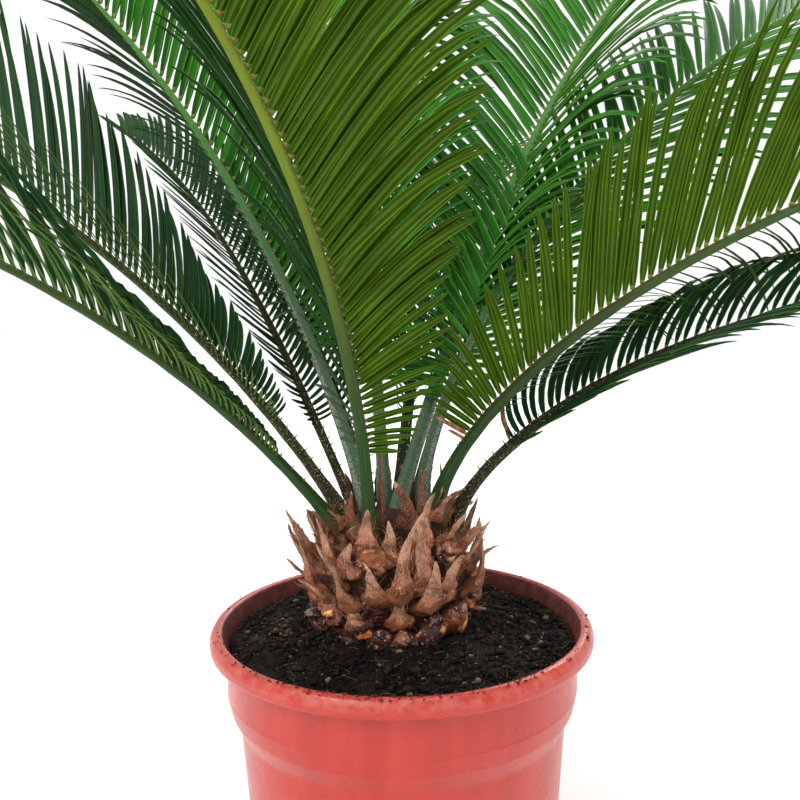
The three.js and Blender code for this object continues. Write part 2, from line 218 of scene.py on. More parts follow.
def even_turns(count):
    return np.arange(count) * 2 * math.pi / count


def outward(turn):
    """Level direction at an angle round the upright axis."""
    return np.array([math.cos(turn), math.sin(turn), 0.0])


def sideways(turn):
    """Level direction a quarter turn clockwise from outward, seen from above."""
    return np.array([math.sin(turn), -math.cos(turn), 0.0])


def leaning(lean, out):
    """Directions that lean from upright towards out by each angle."""
    return np.multiply.outer(np.sin(lean), out) + np.multiply.outer(np.cos(lean), UP)


def sweep(line, across, outer, x, y):
    """Rings of points round each point of a line, x along across and y along outer."""
    return line[..., None, :] + across[..., None, :] * x[..., None] + outer[..., None, :] * y[..., None]


def level_rings(radii, heights, turns):
    """Rings about the upright axis. heights has one number, one column, or one for each point."""
    x = np.multiply.outer(radii, np.cos(turns))
    y = np.multiply.outer(radii, np.sin(turns))
    return np.stack([x, y, np.broadcast_to(heights, x.shape)], axis=-1)


# ---- shader maths ----
def operator(name, reflected=False):
    """A method that adds a Math node of that name."""
    def method(self, other):
        pair = (other, self) if reflected else (self, other)
        return self.finish.value("Math", {"operation": name}, dict(enumerate(pair)))
    return method


class Value:
    """A number that changes over a surface. Sums on it add Math nodes."""

    def __init__(self, finish, socket):
        self.finish = finish
        self.socket = socket

    __add__ = __radd__ = operator("ADD")
    __mul__ = __rmul__ = operator("MULTIPLY")
    __sub__ = operator("SUBTRACT")
    __rsub__ = operator("SUBTRACT", reflected=True)

    def between(self, low, high):
        """0 below low, 1 above high, and smooth in between."""
        settings = {"interpolation_type": "SMOOTHSTEP"}
        return self.finish.value("MapRange", settings, {0: self, 1: low, 2: high})


def shade(*screen):
    """A colour on the screen's scale of 0 to 255, as the linear colour that a shader takes."""
    shares = [c / 255 for c in screen]
    return (*(c / 12.92 if c <= 0.04045 else ((c + 0.055) / 1.055) ** 2.4 for c in shares), 1.0)


class Finish:
    """A material being made: its nodes and its Principled shader. Its colours are on the screen's scale."""

    def __init__(self, name, **constants):
        self.material = bpy.data.materials.new(name)
        self.material.use_nodes = True
        self.tree = self.material.node_tree
        self.shader = self.tree.nodes["Principled BSDF"]
        for name, value in constants.items():
            socket = self.shader.inputs[name.replace("_", " ").title().replace("Ior", "IOR")]
            socket.default_value = value

    def feed(self, socket, value):
        if isinstance(value, Value):
            value = value.socket
        if isinstance(value, bpy.types.NodeSocket):
            self.tree.links.new(value, socket)
        elif socket.type == "RGBA":
            socket.default_value = shade(*value)
        else:
            socket.default_value = value

    def node(self, kind, settings, inputs):
        made = self.tree.nodes.new("ShaderNode" + kind)
        for name, value in settings.items():
            setattr(made, name, value)
        for name, value in inputs.items():
            self.feed(made.inputs[name], value)
        return made

    def value(self, kind, settings, inputs, output=0):
        return Value(self, self.node(kind, settings, inputs).outputs[output])

    def spot(self):
        return self.node("TexCoord", {}, {}).outputs["Object"]

    def noise(self, size, detail=3.0, roughness=0.6, stretch=(1, 1, 1)):
        """Noise from 0 to 1 whose bumps are about size millimetres across."""
        place = self.node("Mapping", {}, {"Vector": self.spot(), "Scale": stretch}).outputs[0]
        inputs = {"Vector": place, "Scale": 1 / (size * MM), "Detail": detail, "Roughness": roughness}
        return self.value("TexNoise", {}, inputs)

    def attribute(self, name):
        return self.value("Attribute", {"attribute_name": name}, {}, "Fac")

    def streaks(self, fineness, stretch):
        """Noise in streaks along a stalk, from the measures that make_stalk stores."""
        along = self.attribute("along") * stretch
        parts = {0: self.attribute("across"), 1: self.attribute("upper"), 2: along}
        spot = self.node("CombineXYZ", {}, parts).outputs[0]
        return self.value("TexNoise", {}, {"Vector": spot, "Scale": fineness, "Detail": 4.0})

    def height(self):
        return self.value("SeparateXYZ", {}, {0: self.spot()}, 2)

    def blend(self, share, first, second):
        """A colour between two colours."""
        inputs = {0: share, 6: first, 7: second}
        return self.node("Mix", {"data_type": "RGBA"}, inputs).outputs[2]

    def let_light_through(self, colour, share):
        """Thin leaf: a share of the light passes through and comes out in that colour."""
        glow = self.node("BsdfTranslucent", {}, {"Color": colour})
        both = self.node("MixShader", {}, {0: share, 1: self.shader.outputs[0], 2: glow.outputs[0]})
        self.feed(self.tree.nodes["Material Output"].inputs["Surface"], both.outputs[0])

    def done(self, colour, rough=None, relief=None, depth=0.0):
        """The material, with its colour, its roughness and a relief of depth millimetres."""
        self.feed(self.shader.inputs["Base Color"], colour)
        if rough is not None:
            self.feed(self.shader.inputs["Roughness"], rough)
        if relief is not None:
            inputs = {"Height": relief, "Distance": depth * MM, "Strength": 1.0}
            bump = self.node("Bump", {}, inputs)
            self.feed(self.shader.inputs["Normal"], bump.outputs[0])
        return self.material


# ---- meshes ----
def make_piece(name, points, faces, finishes, picks=None, replaces=()):
    """A smooth mesh that rides on the plant. faces is a list of arrays, each with one number of corners."""
    mesh = bpy.data.meshes.new(name)
    points = np.asarray(points).reshape(-1, 3) * MM
    mesh.from_pydata(points.tolist(), [], [face for group in faces for face in group.tolist()])
    if picks is not None:
        mesh.polygons.foreach_set("material_index", np.asarray(picks, np.int32))
    mesh.shade_smooth()
    mesh.validate()
    for finish in finishes:
        mesh.materials.append(finish)
    piece = bpy.data.objects.new(name, mesh)
    bpy.context.scene.collection.objects.link(piece)
    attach(piece, "root")
    if replaces:
        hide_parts(*replaces)
    return piece


def add_measure(piece, name, values):
    """Stores a number at each point of a mesh, which a material can read."""
    made = piece.data.attributes.new(name, "FLOAT", "POINT")
    made.data.foreach_set("value", np.asarray(values, np.float32))


def loft_faces(count, stations, around):
    """Quads along and end caps of count lofts, each a stack of stations rings of points."""
    i, j = np.meshgrid(np.arange(stations - 1), np.arange(around), indexing="ij")
    k = (j + 1) % around
    one = np.stack([i * around + j, i * around + k, (i + 1) * around + k, (i + 1) * around + j], axis=-1)
    offsets = np.arange(count) * stations * around
    quads = (one.reshape(-1, 4)[None] + offsets[:, None, None]).reshape(-1, 4)
    foot = np.arange(around)[::-1] + offsets[:, None]
    tip = (stations - 1) * around + np.arange(around) + offsets[:, None]
    return [quads, foot, tip]


def lathe(profile, segments, centre=(0, 0)):
    """Points and faces of a turned body whose profile [radius, height] starts and ends on the axis."""
    profile = np.asarray(profile, float)
    inner = profile[1:-1]
    rings = level_rings(inner[:, 0], inner[:, 1:], even_turns(segments)) + [*centre, 0]
    poles = np.array([[*centre, profile[0, 1]], [*centre, profile[-1, 1]]])
    points = np.concatenate([rings.reshape(-1, 3), poles])
    j = np.arange(segments)
    k = (j + 1) % segments
    first = len(points) - 2
    top = (len(inner) - 1) * segments
    low_fan = np.stack([np.full(segments, first), k, j], axis=-1)
    top_fan = np.stack([np.full(segments, first + 1), top + j, top + k], axis=-1)
    return points, [loft_faces(1, len(inner), segments)[0], low_fan, top_fan]


def rounded(profile, radius, steps=4):
    """The profile with its inner corners rounded."""
    points = [np.array(p, float) for p in profile]
    made = [points[0]]
    for before, corner, after in zip(points, points[1:], points[2:]):
        reach = min(radius, 0.45 * np.linalg.norm(corner - before), 0.45 * np.linalg.norm(after - corner))
        a = corner + unit(before - corner) * reach
        b = corner + unit(after - corner) * reach
        for t in np.linspace(0, 1, steps):
            made.append((1 - t) ** 2 * a + 2 * t * (1 - t) * corner + t * t * b)
    return np.array(made + [points[-1]])


def hairs(line, axes, aside, widths, taper):
    """Three-sided hairs along lines. taper gives the share of the width at each station."""
    side = unit(np.cross(axes, aside))
    third = np.cross(axes, side)
    half = (widths[:, None] / 2 * taper)[..., None]
    turns = even_turns(3)
    points = sweep(line, side[:, None], third[:, None], half * np.cos(turns), half * np.sin(turns))
    return points, loft_faces(len(line), line.shape[1], 3)


def strands(roots, axes, lengths, widths, curl, rng, stations=5):
    """Thin fibres that wander as they go."""
    heading = axes
    turn = rng.normal(0, curl, axes.shape)
    line = [roots]
    for _ in range(stations - 1):
        line.append(line[-1] + heading * (lengths / (stations - 1))[:, None])
        heading = unit(heading + turn)
        turn = turn + rng.normal(0, curl, axes.shape)
    taper = np.interp(np.linspace(0, 1, stations), [0, 0.7, 1], [1, 0.8, 0.2])
    return hairs(np.stack(line, axis=1), axes, UP + 0.1, widths, taper)


# ---- finishes ----
LEAF_FACES = {
    # which face: the share of light that passes through it, and its roughness
    # the two upper faces are one green painted darker and lighter: painted shade and painted light
    "upper_painted_shade": (0.14, 0.34), "upper_painted_light": (0.16, 0.38), "under": (0.18, 0.5), "midrib": (0.1, 0.5),
    "edge": (0.25, 0.42),
}
LEAF_SHADES = {
    # kind: one colour for each of those faces, and the colour of the light that passes through
    "mature": [(36, 66, 6), (46, 80, 9), (50, 80, 7), (80, 106, 24), (108, 144, 20), (110, 160, 8)],
    "young": [(32, 86, 20), (44, 108, 22), (48, 102, 22), (74, 128, 42), (92, 152, 54), (84, 178, 14)],
    "outer": [(22, 56, 33), (30, 70, 38), (44, 70, 30), (72, 96, 42), (88, 116, 46), (56, 124, 32)],
    "shaded": [(16, 46, 14), (24, 60, 18), (30, 62, 18), (36, 72, 26), (46, 86, 32), (40, 110, 20)],
    "fringe": [(46, 82, 36), (70, 108, 46), (50, 80, 38), (96, 126, 58), (122, 148, 78), (80, 140, 40)],
}


def leaf_finish(name, face, glow, share, roughness):
    finish = Finish(name, roughness=roughness, specular_ior_level=0.07)
    patches = finish.noise(26, detail=2).between(0.3, 0.75)
    finish.let_light_through(glow, share)
    return finish.done(finish.blend((1 - patches) * 0.28, face, (0, 0, 0)))


def leaf_finishes(kind):
    *faces, glow = LEAF_SHADES[kind]
    return [
        leaf_finish(f"leaflet_{kind}_{place}", face, glow, share, roughness)
        for face, (place, (share, roughness)) in zip(faces, LEAF_FACES.items())
    ]


def spotted_finish(name, size, low, high, dark, light, roughness, depth=0.0):
    """Two colours in spots about size millimetres across."""
    finish = Finish(name, roughness=roughness)
    spots = finish.noise(size).between(low, high)
    relief = finish.noise(1.5) if depth else None
    return finish.done(finish.blend(spots, dark, light), None, relief, depth)


def smooth_stalk_finish(name, foot, far, edge="near_edge", first=-0.6):
    """Glossy green, deeper at the foot, with brown along one side and down to the felt at its base."""
    finish = Finish(name, specular_ior_level=0.2)
    along = finish.attribute("along")
    green = finish.blend(along.between(0.06, 0.42), foot, far)
    streaks = finish.streaks(5, 8)
    lighter = finish.blend(streaks.between(0.5, 0.72) * 0.2, green, (104, 122, 58))
    darker = finish.blend(streaks.between(0.5, 0.3) * 0.3, lighter, (20, 38, 12))
    scurf = finish.noise(1.8, detail=5, roughness=0.8).between(0.4, 0.6)
    share = finish.attribute(edge).between(first, 1.0) * along.between(0.06, 0.13)
    browned = finish.blend(share * (1 - along.between(0.3, 0.6)) * scurf * 0.9, darker, (66, 58, 32))
    colour = finish.blend(along.between(0.012, -0.012), browned, (74, 62, 34))
    return finish.done(colour, 0.46 + finish.noise(4) * 0.2, streaks, 0.25)


def speckled_stalk_finish():
    """Dark green under brown scurf, thickest above, with pale specks."""
    finish = Finish("stalk_speckled", specular_ior_level=0.15)
    along = finish.attribute("along")
    upper = finish.attribute("upper")
    green = finish.blend(along.between(0.1, 0.5), (36, 66, 32), (70, 100, 46))
    scurf = (finish.noise(1.6, detail=5, roughness=0.8) + upper * 0.08).between(0.42, 0.57)
    foot = finish.blend(along.between(0.09, 0.03) * 0.5, green, (50, 36, 26))
    coated = finish.blend(scurf * 0.85, foot, (46, 38, 26))
    specks = finish.noise(0.8, detail=2).between(0.61, 0.67) * (0.9 - along.between(0.1, 0.5) * 0.7)
    colour = finish.blend(specks, coated, (204, 190, 142))
    return finish.done(colour, 0.5 + scurf * 0.3, scurf + finish.noise(1.2), 0.25)


def felted_stalk_finish():
    """Green under a thin grey down that thins out upwards."""
    finish = Finish("stalk_felted", specular_ior_level=0.15)
    along = finish.attribute("along")
    green = finish.blend(along.between(0.08, 0.4), (58, 92, 62), (80, 132, 60))
    down = finish.noise(0.8, detail=4, roughness=0.85).between(0.42, 0.66)
    edges = finish.attribute("across")
    pale = (edges * edges).between(0.7, 0.98) * (1 - along.between(0.1, 0.4))
    downy = finish.blend(down * (0.8 - along.between(0.05, 0.28) * 0.7), green, (146, 162, 138))
    return finish.done(finish.blend(pale * down, downy, (206, 208, 192)), 0.62 + down * 0.25, down, 0.3)


def felt_finish(name, deep, mid, pale):
    """Brown fibrous felt: streaks that run mostly upwards over darker hollows."""
    finish = Finish(name, roughness=0.9, specular_ior_level=0.15)
    streaks = finish.noise(0.7, detail=6, roughness=0.75, stretch=(1, 1, 0.3))
    base = finish.blend(finish.noise(9, detail=4).between(0.3, 0.66), deep, mid)
    return finish.done(finish.blend(streaks.between(0.47, 0.66) * 0.65, base, pale), None, streaks, 0.9)


def wet_scale_finish(name, deep, mid, pale):
    """Smooth and shiny, with small pale highlights painted into its colour, as sparkles on the wet surface.
    """
    finish = Finish(name, specular_ior_level=0.35, coat_weight=0.2, coat_roughness=0.15)
    patches = finish.noise(6, detail=4, roughness=0.65)
    dark = finish.blend(patches.between(0.36, 0.56), deep, mid)
    stained = finish.blend(patches.between(0.58, 0.68), dark, pale)
    # painted highlights: pale specks in the colour that stand for sparkles of light on the wet surface
    painted_glints = finish.noise(1.1, detail=3).between(0.59, 0.65) * finish.noise(4, detail=2).between(0.45, 0.57)
    colour = finish.blend(painted_glints, stained, (240, 220, 208))
    return finish.done(colour, 0.25 + finish.noise(3) * 0.3, finish.noise(1.2, detail=5), 1.1)


def cut_face_finish(name, deep, pale):
    """Raw moist tissue."""
    finish = Finish(name, specular_ior_level=0.5)
    grain = finish.noise(1.6, detail=5, roughness=0.7)
    colour = finish.blend(grain.between(0.35, 0.66), deep, pale)
    return finish.done(colour, 0.35 + finish.noise(2) * 0.3, grain, 0.6)


def crumb_finish(name, deep, pale):
    finish = Finish(name, roughness=0.85, specular_ior_level=0.15)
    grain = finish.noise(1.4, detail=5, roughness=0.75)
    return finish.done(finish.blend(grain.between(0.4, 0.65), deep, pale), None, grain, 0.6)


def soil_finish():
    finish = Finish("potting_soil_dark", specular_ior_level=0.15)
    crumbs = finish.noise(2.2, detail=7, roughness=0.75)
    base = finish.blend(crumbs.between(0.35, 0.6), (8, 6, 5), (30, 23, 20))
    colour = finish.blend(crumbs.between(0.62, 0.7), base, (92, 70, 54))
    return finish.done(colour, 0.75 + crumbs * 0.2, crumbs, 1.6)


def pot_finish():
    """Coral red plastic, dusty and speckled with soil on the rim."""
    finish = Finish("pot_plastic_red", specular_ior_level=0.5)
    streaks = finish.noise(16, detail=3, stretch=(1, 1, 0.12)).between(0.35, 0.7)
    red = finish.blend(streaks, (170, 37, 22), (182, 46, 30))
    dust = finish.noise(7, detail=6, roughness=0.7).between(0.38, 0.72)
    on_rim = finish.height().between(0.2045, 0.2115)
    dusty = finish.blend(dust * on_rim * 0.7, red, (186, 110, 98))
    specks = finish.noise(1.3, detail=2).between(0.735, 0.76)
    colour = finish.blend(specks * (0.25 + on_rim * 0.75), dusty, (70, 42, 32))
    relief = finish.noise(22, detail=2) + finish.noise(0.8, detail=2) * 0.03
    return finish.done(colour, 0.27 + dust * (0.08 + on_rim * 0.3), relief, 0.5)


def pot_inside_finish():
    """The same plastic inside, stained dark by wet soil."""
    finish = Finish("pot_plastic_stained", specular_ior_level=0.4)
    stains = finish.noise(9, detail=6, roughness=0.7).between(0.35, 0.65)
    return finish.done(finish.blend(stains, (118, 42, 35), (84, 34, 29)), 0.45 + stains * 0.3)


def floor_finish():
    finish = Finish("studio_floor", roughness=0.8)
    return finish.done(finish.blend(finish.noise(300), (243, 244, 244), (248, 248, 248)))


# ---- fronds ----
def rib_heading(frond, s):
    """Direction of the rib, s millimetres from its foot."""
    share = np.clip(np.asarray(s, float) / frond.length, 0, 1) ** frond.bend
    lean = np.radians(mix(frond.lean, frond.tip_lean, share))
    return leaning(lean, outward(math.radians(frond.azimuth)))


def rib_curve(frond, steps=160):
    """The rib's line, from STALK_SINK below its foot to its tip, as distances and points."""
    total = frond.length + STALK_SINK
    foot = outward(math.radians(frond.azimuth)) * frond.out + [TRUNK_X, 0, frond.up]
    start = foot - rib_heading(frond, 0) * STALK_SINK
    middles = (np.arange(steps) + 0.5) / steps * total - STALK_SINK
    walk = np.cumsum(rib_heading(frond, middles) * (total / steps), axis=0)
    return np.linspace(-STALK_SINK, frond.length, steps + 1), np.concatenate([start[None], start + walk])


def rib_frame(frond, s):
    """Point, heading, side and upper face of the rib at each distance s."""
    distances, points = frond.rib
    point = np.stack([np.interp(s, distances, points[:, k]) for k in range(3)], axis=-1)
    heading = rib_heading(frond, s)
    side = np.broadcast_to(sideways(math.radians(frond.azimuth)), heading.shape)
    return point, heading, side, np.cross(side, heading)


def rib_half(frond, s, foot=STALK_WIDTH, power=0.95):
    """Half the rib's width at each distance s, or half its depth for that size at the foot and power."""
    share = np.clip(np.asarray(s, float) / frond.length, 0, 1)
    return mix(foot, STALK_TIP_WIDTH, share ** power) * frond.girth / 2


def leaflet_share(frond, u):
    """Leaflet length along the rib, as a share of the longest."""
    if frond.is_old():
        growth = smoothstep(-0.02, 0.5, u)
    else:
        growth = 1 - (1 - np.clip(u / 0.4, 0, 1)) ** 1.25
    fall = np.maximum(0, (u - 0.38) / 0.62) ** 2
    return mix(frond.first, 1, growth) * (1 - 0.52 * fall)


def leaflet_angle(u):
    """Angle between a leaflet and the rib where it leaves it."""
    near_foot = 1 - smoothstep(0, 0.16, u)
    late = np.maximum(0, (u - 0.3) / 0.7) ** 1.2
    return np.radians(58 + 38 * near_foot - 6 * np.minimum(u / 0.3, 1) - 28 * late)


def dried_leaflets(frond, hand):
    """Which leaflets are dry and brown, their share of the usual length, and how much wider they open."""
    dried, share, opening = np.zeros(len(hand), bool), np.ones(len(hand)), np.zeros(len(hand))
    side, lowest = DRIED.get(frond.name, (0, []))
    for leaflet, (short, wider) in zip(np.nonzero(hand == side)[0], lowest):
        dried[leaflet], share[leaflet], opening[leaflet] = True, short, wider
    return dried, share, opening


LEAFLET_STATIONS = np.array([0, 0.022, 0.07, 0.18, 0.34, 0.5, 0.66, 0.8, 0.91, 0.97, 1])
LEAFLET_WIDTHS = np.array([0.42, 0.56, 0.82, 0.97, 1, 0.98, 0.9, 0.76, 0.5, 0.26, 0.04])
# Across a leaflet: a shallow channel above, edges rolled down, and a raised midrib below.
LEAFLET_SECTION = np.array([
    (-1, -0.26), (-0.72, 0.08), (0, -0.08), (0.72, 0.08), (1, -0.26),
    (0.8, -0.14), (0.26, -0.1), (0, -0.36), (-0.26, -0.1), (-0.8, -0.14),
])
UPPER, UPPER_PAINTED_LIGHT, UNDER, MIDRIB, EDGE, JOINT, DRY_LEAF = range(7)
SECTION_FINISH = np.array([EDGE, UPPER, UPPER, EDGE, EDGE, UNDER, MIDRIB, MIDRIB, UNDER, EDGE])


def leaflet_lines(frond, rng):
    """Middle lines of all leaflets of a frond, with what each needs to become a blade."""
    row = frond.row
    count = round(frond.length * (1 - frond.bare) / (LEAFLET_PITCH * frond.spacing))
    u = np.repeat((np.arange(count) + 0.5) / count, 2)
    hand = np.tile([1.0, -1.0], count)

    def vary(middle, spread):
        return rng.normal(middle, spread, len(u))

    place = np.clip(u + vary(0, 0.06) / count + hand * 0.25 / count, 0, 1) ** LEAFLET_CROWDING
    s = mix(frond.length * frond.bare, frond.length - 2, place)
    point, heading, side, face = rib_frame(frond, s)
    roll = math.radians(frond.roll) * (1 - 0.5 * u[:, None])
    side, face = np.cos(roll) * side + np.sin(roll) * face, np.cos(roll) * face - np.sin(roll) * side
    own = hand == row.hand
    dried, short, wider = dried_leaflets(frond, hand)
    longer = u + frond.longer * (hand > 0) * (1 - u)
    length = LEAFLET_LENGTH * frond.length / FROND_LENGTH * leaflet_share(frond, longer) * vary(1, 0.03)
    begun = mix(0.45, 1, smoothstep(row.start, row.start + 0.16, u)) if row.start else 1
    length = length * short * np.where(own, row.length * begun, 1) * ~(own & (u < row.start))
    wider = wider + own * mix(row.foot_opening, row.opening, smoothstep(0.05, 0.4, u))
    angle = leaflet_angle(u) + np.radians(wider + vary(0, 1.5))
    near_foot = np.exp(-u / 0.12) * frond.is_old()
    spread_out = 0.8 * smoothstep(0.1, 0.45, u) if frond.is_old() else 0.35 * u
    keel = np.radians(frond.keel + 24 * near_foot + vary(0, 2))
    curl = frond.curl * (1 - 0.8 * dried) * (1 - spread_out) * (1 + 0.6 * near_foot)
    curl = np.radians(curl + vary(0, 2))
    sag = frond.sag * length / LEAFLET_LENGTH * vary(1, 0.08) * np.where(own, row.sag, 1)

    def direction(t):
        opened = angle[:, None] - curl[:, None] * t
        aside = hand[:, None] * np.sin(opened) * np.cos(keel)[:, None]
        lifted = np.sin(opened) * np.sin(keel)[:, None]
        straight = sweep(heading * 0, side, face, aside, lifted)
        straight = straight + heading[:, None] * np.cos(opened)[..., None]
        return unit(straight - (sag[:, None] * t ** 2.5)[..., None] * UP)

    half = rib_half(frond, s)
    root = point + side * (hand * half * 0.62)[:, None] + face * (half * 0.3)[:, None]
    middles = (LEAFLET_STATIONS[1:] + LEAFLET_STATIONS[:-1]) / 2
    steps = direction(middles) * (np.diff(LEAFLET_STATIONS) * length[:, None])[..., None]
    lines = root[:, None] + np.concatenate([np.zeros((len(u), 1, 3)), np.cumsum(steps, axis=1)], axis=1)
    return {
        "u": u, "hand": hand, "lines": lines, "along": direction(LEAFLET_STATIONS), "heading": heading,
        "length": length, "dried": dried,
    }


def clear_of_ribs(lines, frond):
    """Share of each leaflet that stays clear of every other frond's rib."""
    keep = np.ones(len(lines))
    for other in FRONDS:
        if other is frond:
            continue
        distances, points = other.rib
        widths = rib_half(other, distances)
        for k, before in enumerate(LEAFLET_STATIONS[:-1], start=1):
            gaps = np.linalg.norm(lines[:, k, None] - points[None], axis=-1) - widths
            hit = gaps.min(axis=1) < RIB_CLEARANCE
            keep = np.where(hit, np.minimum(keep, before * 0.96), keep)
    return keep


def shorten(rows, keep):
    """Cuts each leaflet's line to the share that stays clear, with its whole outline squeezed into that."""
    for n in np.nonzero(keep < 1)[0]:
        places = LEAFLET_STATIONS * keep[n]
        for field in ("lines", "along"):
            measures = [np.interp(places, LEAFLET_STATIONS, old) for old in rows[field][n].T]
            rows[field][n] = np.stack(measures, axis=-1)
    rows["length"] = rows["length"] * keep


def make_frond_piece(kind, frond, points, faces, finishes, picks=None):
    nodes = (f"frond_{frond.name}_inner", f"frond_{frond.name}_outer")
    name = f"{kind}_{frond.name}"
    return make_piece(name, points, faces, finishes, picks, replaces=nodes)


def make_leaflets(frond, finishes, rng):
    row = frond.row
    rows = leaflet_lines(frond, rng)
    shorten(rows, clear_of_ribs(rows["lines"], frond))
    stay = rows["length"] > SHORTEST_LEAFLET
    u, hand, lines, along, heading, length, dried = (values[stay] for values in rows.values())
    count = len(lines)
    own = hand == row.hand
    along = unit(along)
    wide = heading[:, None] - along * np.sum(heading[:, None] * along, axis=-1, keepdims=True)
    wide = unit(wide) * hand[:, None, None]
    twist = np.where(own, row.twist, mix(-16, -6, u)) + rng.normal(0, 5, count)
    twist = np.broadcast_to((np.radians(twist) * hand)[:, None], along.shape[:2])
    wide = turn_about(wide, along, twist)
    slim = KIND_WIDTHS[frond.leaf] * mix(1, frond.broad, smoothstep(0.02, 0.3, u))
    slim = slim * np.where(own, row.width, 1) * np.where(dried, 0.75, 1)
    size = 0.72 + 0.28 * frond.length / FROND_LENGTH
    width = LEAFLET_WIDTH * slim * size * mix(0.62, 1, smoothstep(0, 0.2, u))
    width = np.minimum(width, length * 0.2) * rng.normal(1, 0.05, count)
    half = (width[:, None] * LEAFLET_WIDTHS / 2)[..., None]
    x, y = LEAFLET_SECTION.T
    points = sweep(lines, wide, np.cross(along, wide), half * x, half * y)
    # painted light and shade: leaflets further along the frond more often get the lighter upper face, those
    # near its foot the darker one
    light = rng.random(count) < mix(0.15, 0.8, smoothstep(0.1, 0.6, u))
    bands = len(LEAFLET_STATIONS) - 1
    zone = np.tile(SECTION_FINISH, bands)[None]
    picks = np.where((zone == UPPER) & light[:, None], UPPER_PAINTED_LIGHT, zone)
    picks = picks + own[:, None] * bool(row.leaf) * (DRY_LEAF + 1)
    picks[:, :len(x)] = JOINT
    picks[dried] = DRY_LEAF
    tips = np.where(dried, DRY_LEAF, EDGE)
    picks = np.concatenate([picks.ravel(), np.full(count, JOINT), tips])
    make_frond_piece("leaflets", frond, points, loft_faces(count, bands + 1, len(x)), finishes, picks)


def make_stalk(frond, finish):
    """The rib: rounded below, with a ridge between two grooves above."""
    near = frond.length * 0.12
    s = np.concatenate([np.linspace(-STALK_SINK, near, 16), np.linspace(near, frond.length, 60)[1:]])
    point, _, side, face = rib_frame(frond, s)
    bulge = 1 + 0.22 * smoothstep(22, -6, s)
    half = rib_half(frond, s) * bulge
    depth = rib_half(frond, s, STALK_DEPTH, 0.5) * bulge
    turns = even_turns(STALK_ROUND)
    across, upper = np.cos(turns), np.sin(turns)
    groove = 1
    for place in (45, 135):
        groove = groove - 0.3 * np.exp(-((turns - math.radians(place)) / 0.3) ** 2)
    x = half[:, None] * (np.sign(across) * np.abs(across) ** 0.8) * groove
    y = depth[:, None] * (np.sign(upper) * np.abs(upper) ** 0.9) * groove
    points = sweep(point, side, face, x, y)
    uneven = smooth_noise(points, 9, seed=frond.azimuth) * 0.35 * (half / 6)[:, None]
    points = points + unit(points - point[:, None]) * uneven[..., None]
    piece = make_frond_piece("stalk", frond, points, loft_faces(1, len(s), STALK_ROUND), [finish])
    add_measure(piece, "along", np.repeat(s / frond.length, STALK_ROUND))
    for name, values in {"across": across, "upper": upper, "near_edge": -across}.items():
        add_measure(piece, name, np.tile(values, len(s)))


def make_spines(rng, finish):
    """Short thorns on both edges of every stalk, below its first leaflets."""
    roots, axes, lengths = [], [], []
    for frond, hand in itertools.product(FRONDS, (1.0, -1.0)):
        reach = frond.length * (frond.bare + 0.05)
        s = np.arange(14, reach, 12.0 if frond.stalk == "felted" else 8.0)
        s = s + rng.uniform(-3, 3, len(s))
        point, heading, side, face = rib_frame(frond, s)
        half = rib_half(frond, s)
        deep = rib_half(frond, s, STALK_DEPTH, 0.5)
        above = frond.leaf == "outer" or frond.stalk == "smooth"
        spread, lift = (0.5, 0.95) if above else (0.9, 0.35)
        aside = side * (hand * half * spread * 0.8)[:, None]
        roots.append(point + aside + face * (deep * lift * 0.72)[:, None])
        raised = face * (lift + rng.normal(0, 0.3, (len(s), 1)))
        axes.append(unit(side * hand * spread + heading * 0.3 + raised))
        lengths.append(rng.uniform(2.0, 4.4, len(s)) * mix(0.7, 1.3, s / reach))
    roots, axes, lengths = (np.concatenate(a) for a in (roots, axes, lengths))
    bend = rng.normal(0, 0.15, axes.shape) + UP * 0.25
    t = np.array([0, 0.5, 1.0])
    reach = lengths[:, None] * t
    line = roots[:, None] + axes[:, None] * reach[..., None] + bend[:, None] * (reach * t * 0.5)[..., None]
    widths = np.full(len(roots), 1.3)
    points, faces = hairs(line, axes, bend + [0.01, 0.02, 0.03], widths, np.array([1, 0.75, 0.08]))
    make_piece("stalk_spines", points, faces, [finish])


# ---- trunk ----
def trunk_profile():
    r = TRUNK_RADIUS
    return [
        [0, TRUNK_FOOT], [r, TRUNK_FOOT], [r - 3, 190], [r - 6, 212], [r - 1, 236],
        [r + 1, 250], [r - 4, 266], [r - 15, 277], [r - 28, TRUNK_TOP - 12], [0, TRUNK_TOP - 10],
    ]


def trunk_surface(z):
    """Radius of the trunk at a height, and how far its scales lean out there."""
    t = np.clip((z - 250) / (TRUNK_TOP - 250), 0, 1)
    tuck = 1 - 0.15 * smoothstep(240, 206, z)
    return (TRUNK_RADIUS + 1) * math.sqrt(1 - t * t * 0.92) * tuck, mix(64, 22, t)


CORE_ROUND = 96
SCALE_COUNT = 138
SCALE_STATIONS = 26
SCALE_ROUND = 20
SCALE_PLACES = [0, 0.08, 0.2, 0.3, 0.38, 0.5, 0.76, 0.94, 1]
# Widths and depths along a scale, as shares of the largest.
SCALE_SHAPES = {
    "bottle": [
        (0.9, 1, 0.95, 0.82, 0.66, 0.46, 0.29, 0.18, 0.05),
        (0.75, 1, 0.9, 0.62, 0.42, 0.27, 0.18, 0.12, 0.04)],
    "leaf": [
        (1, 1, 0.92, 0.8, 0.7, 0.56, 0.38, 0.2, 0.04),
        (1, 0.85, 0.58, 0.4, 0.28, 0.18, 0.12, 0.08, 0.04)],
    "lump": [
        (0.75, 0.92, 1, 1, 0.97, 0.92, 0.7, 0.42, 0.08),
        (0.7, 0.9, 1, 1, 0.95, 0.85, 0.62, 0.34, 0.08)],
}
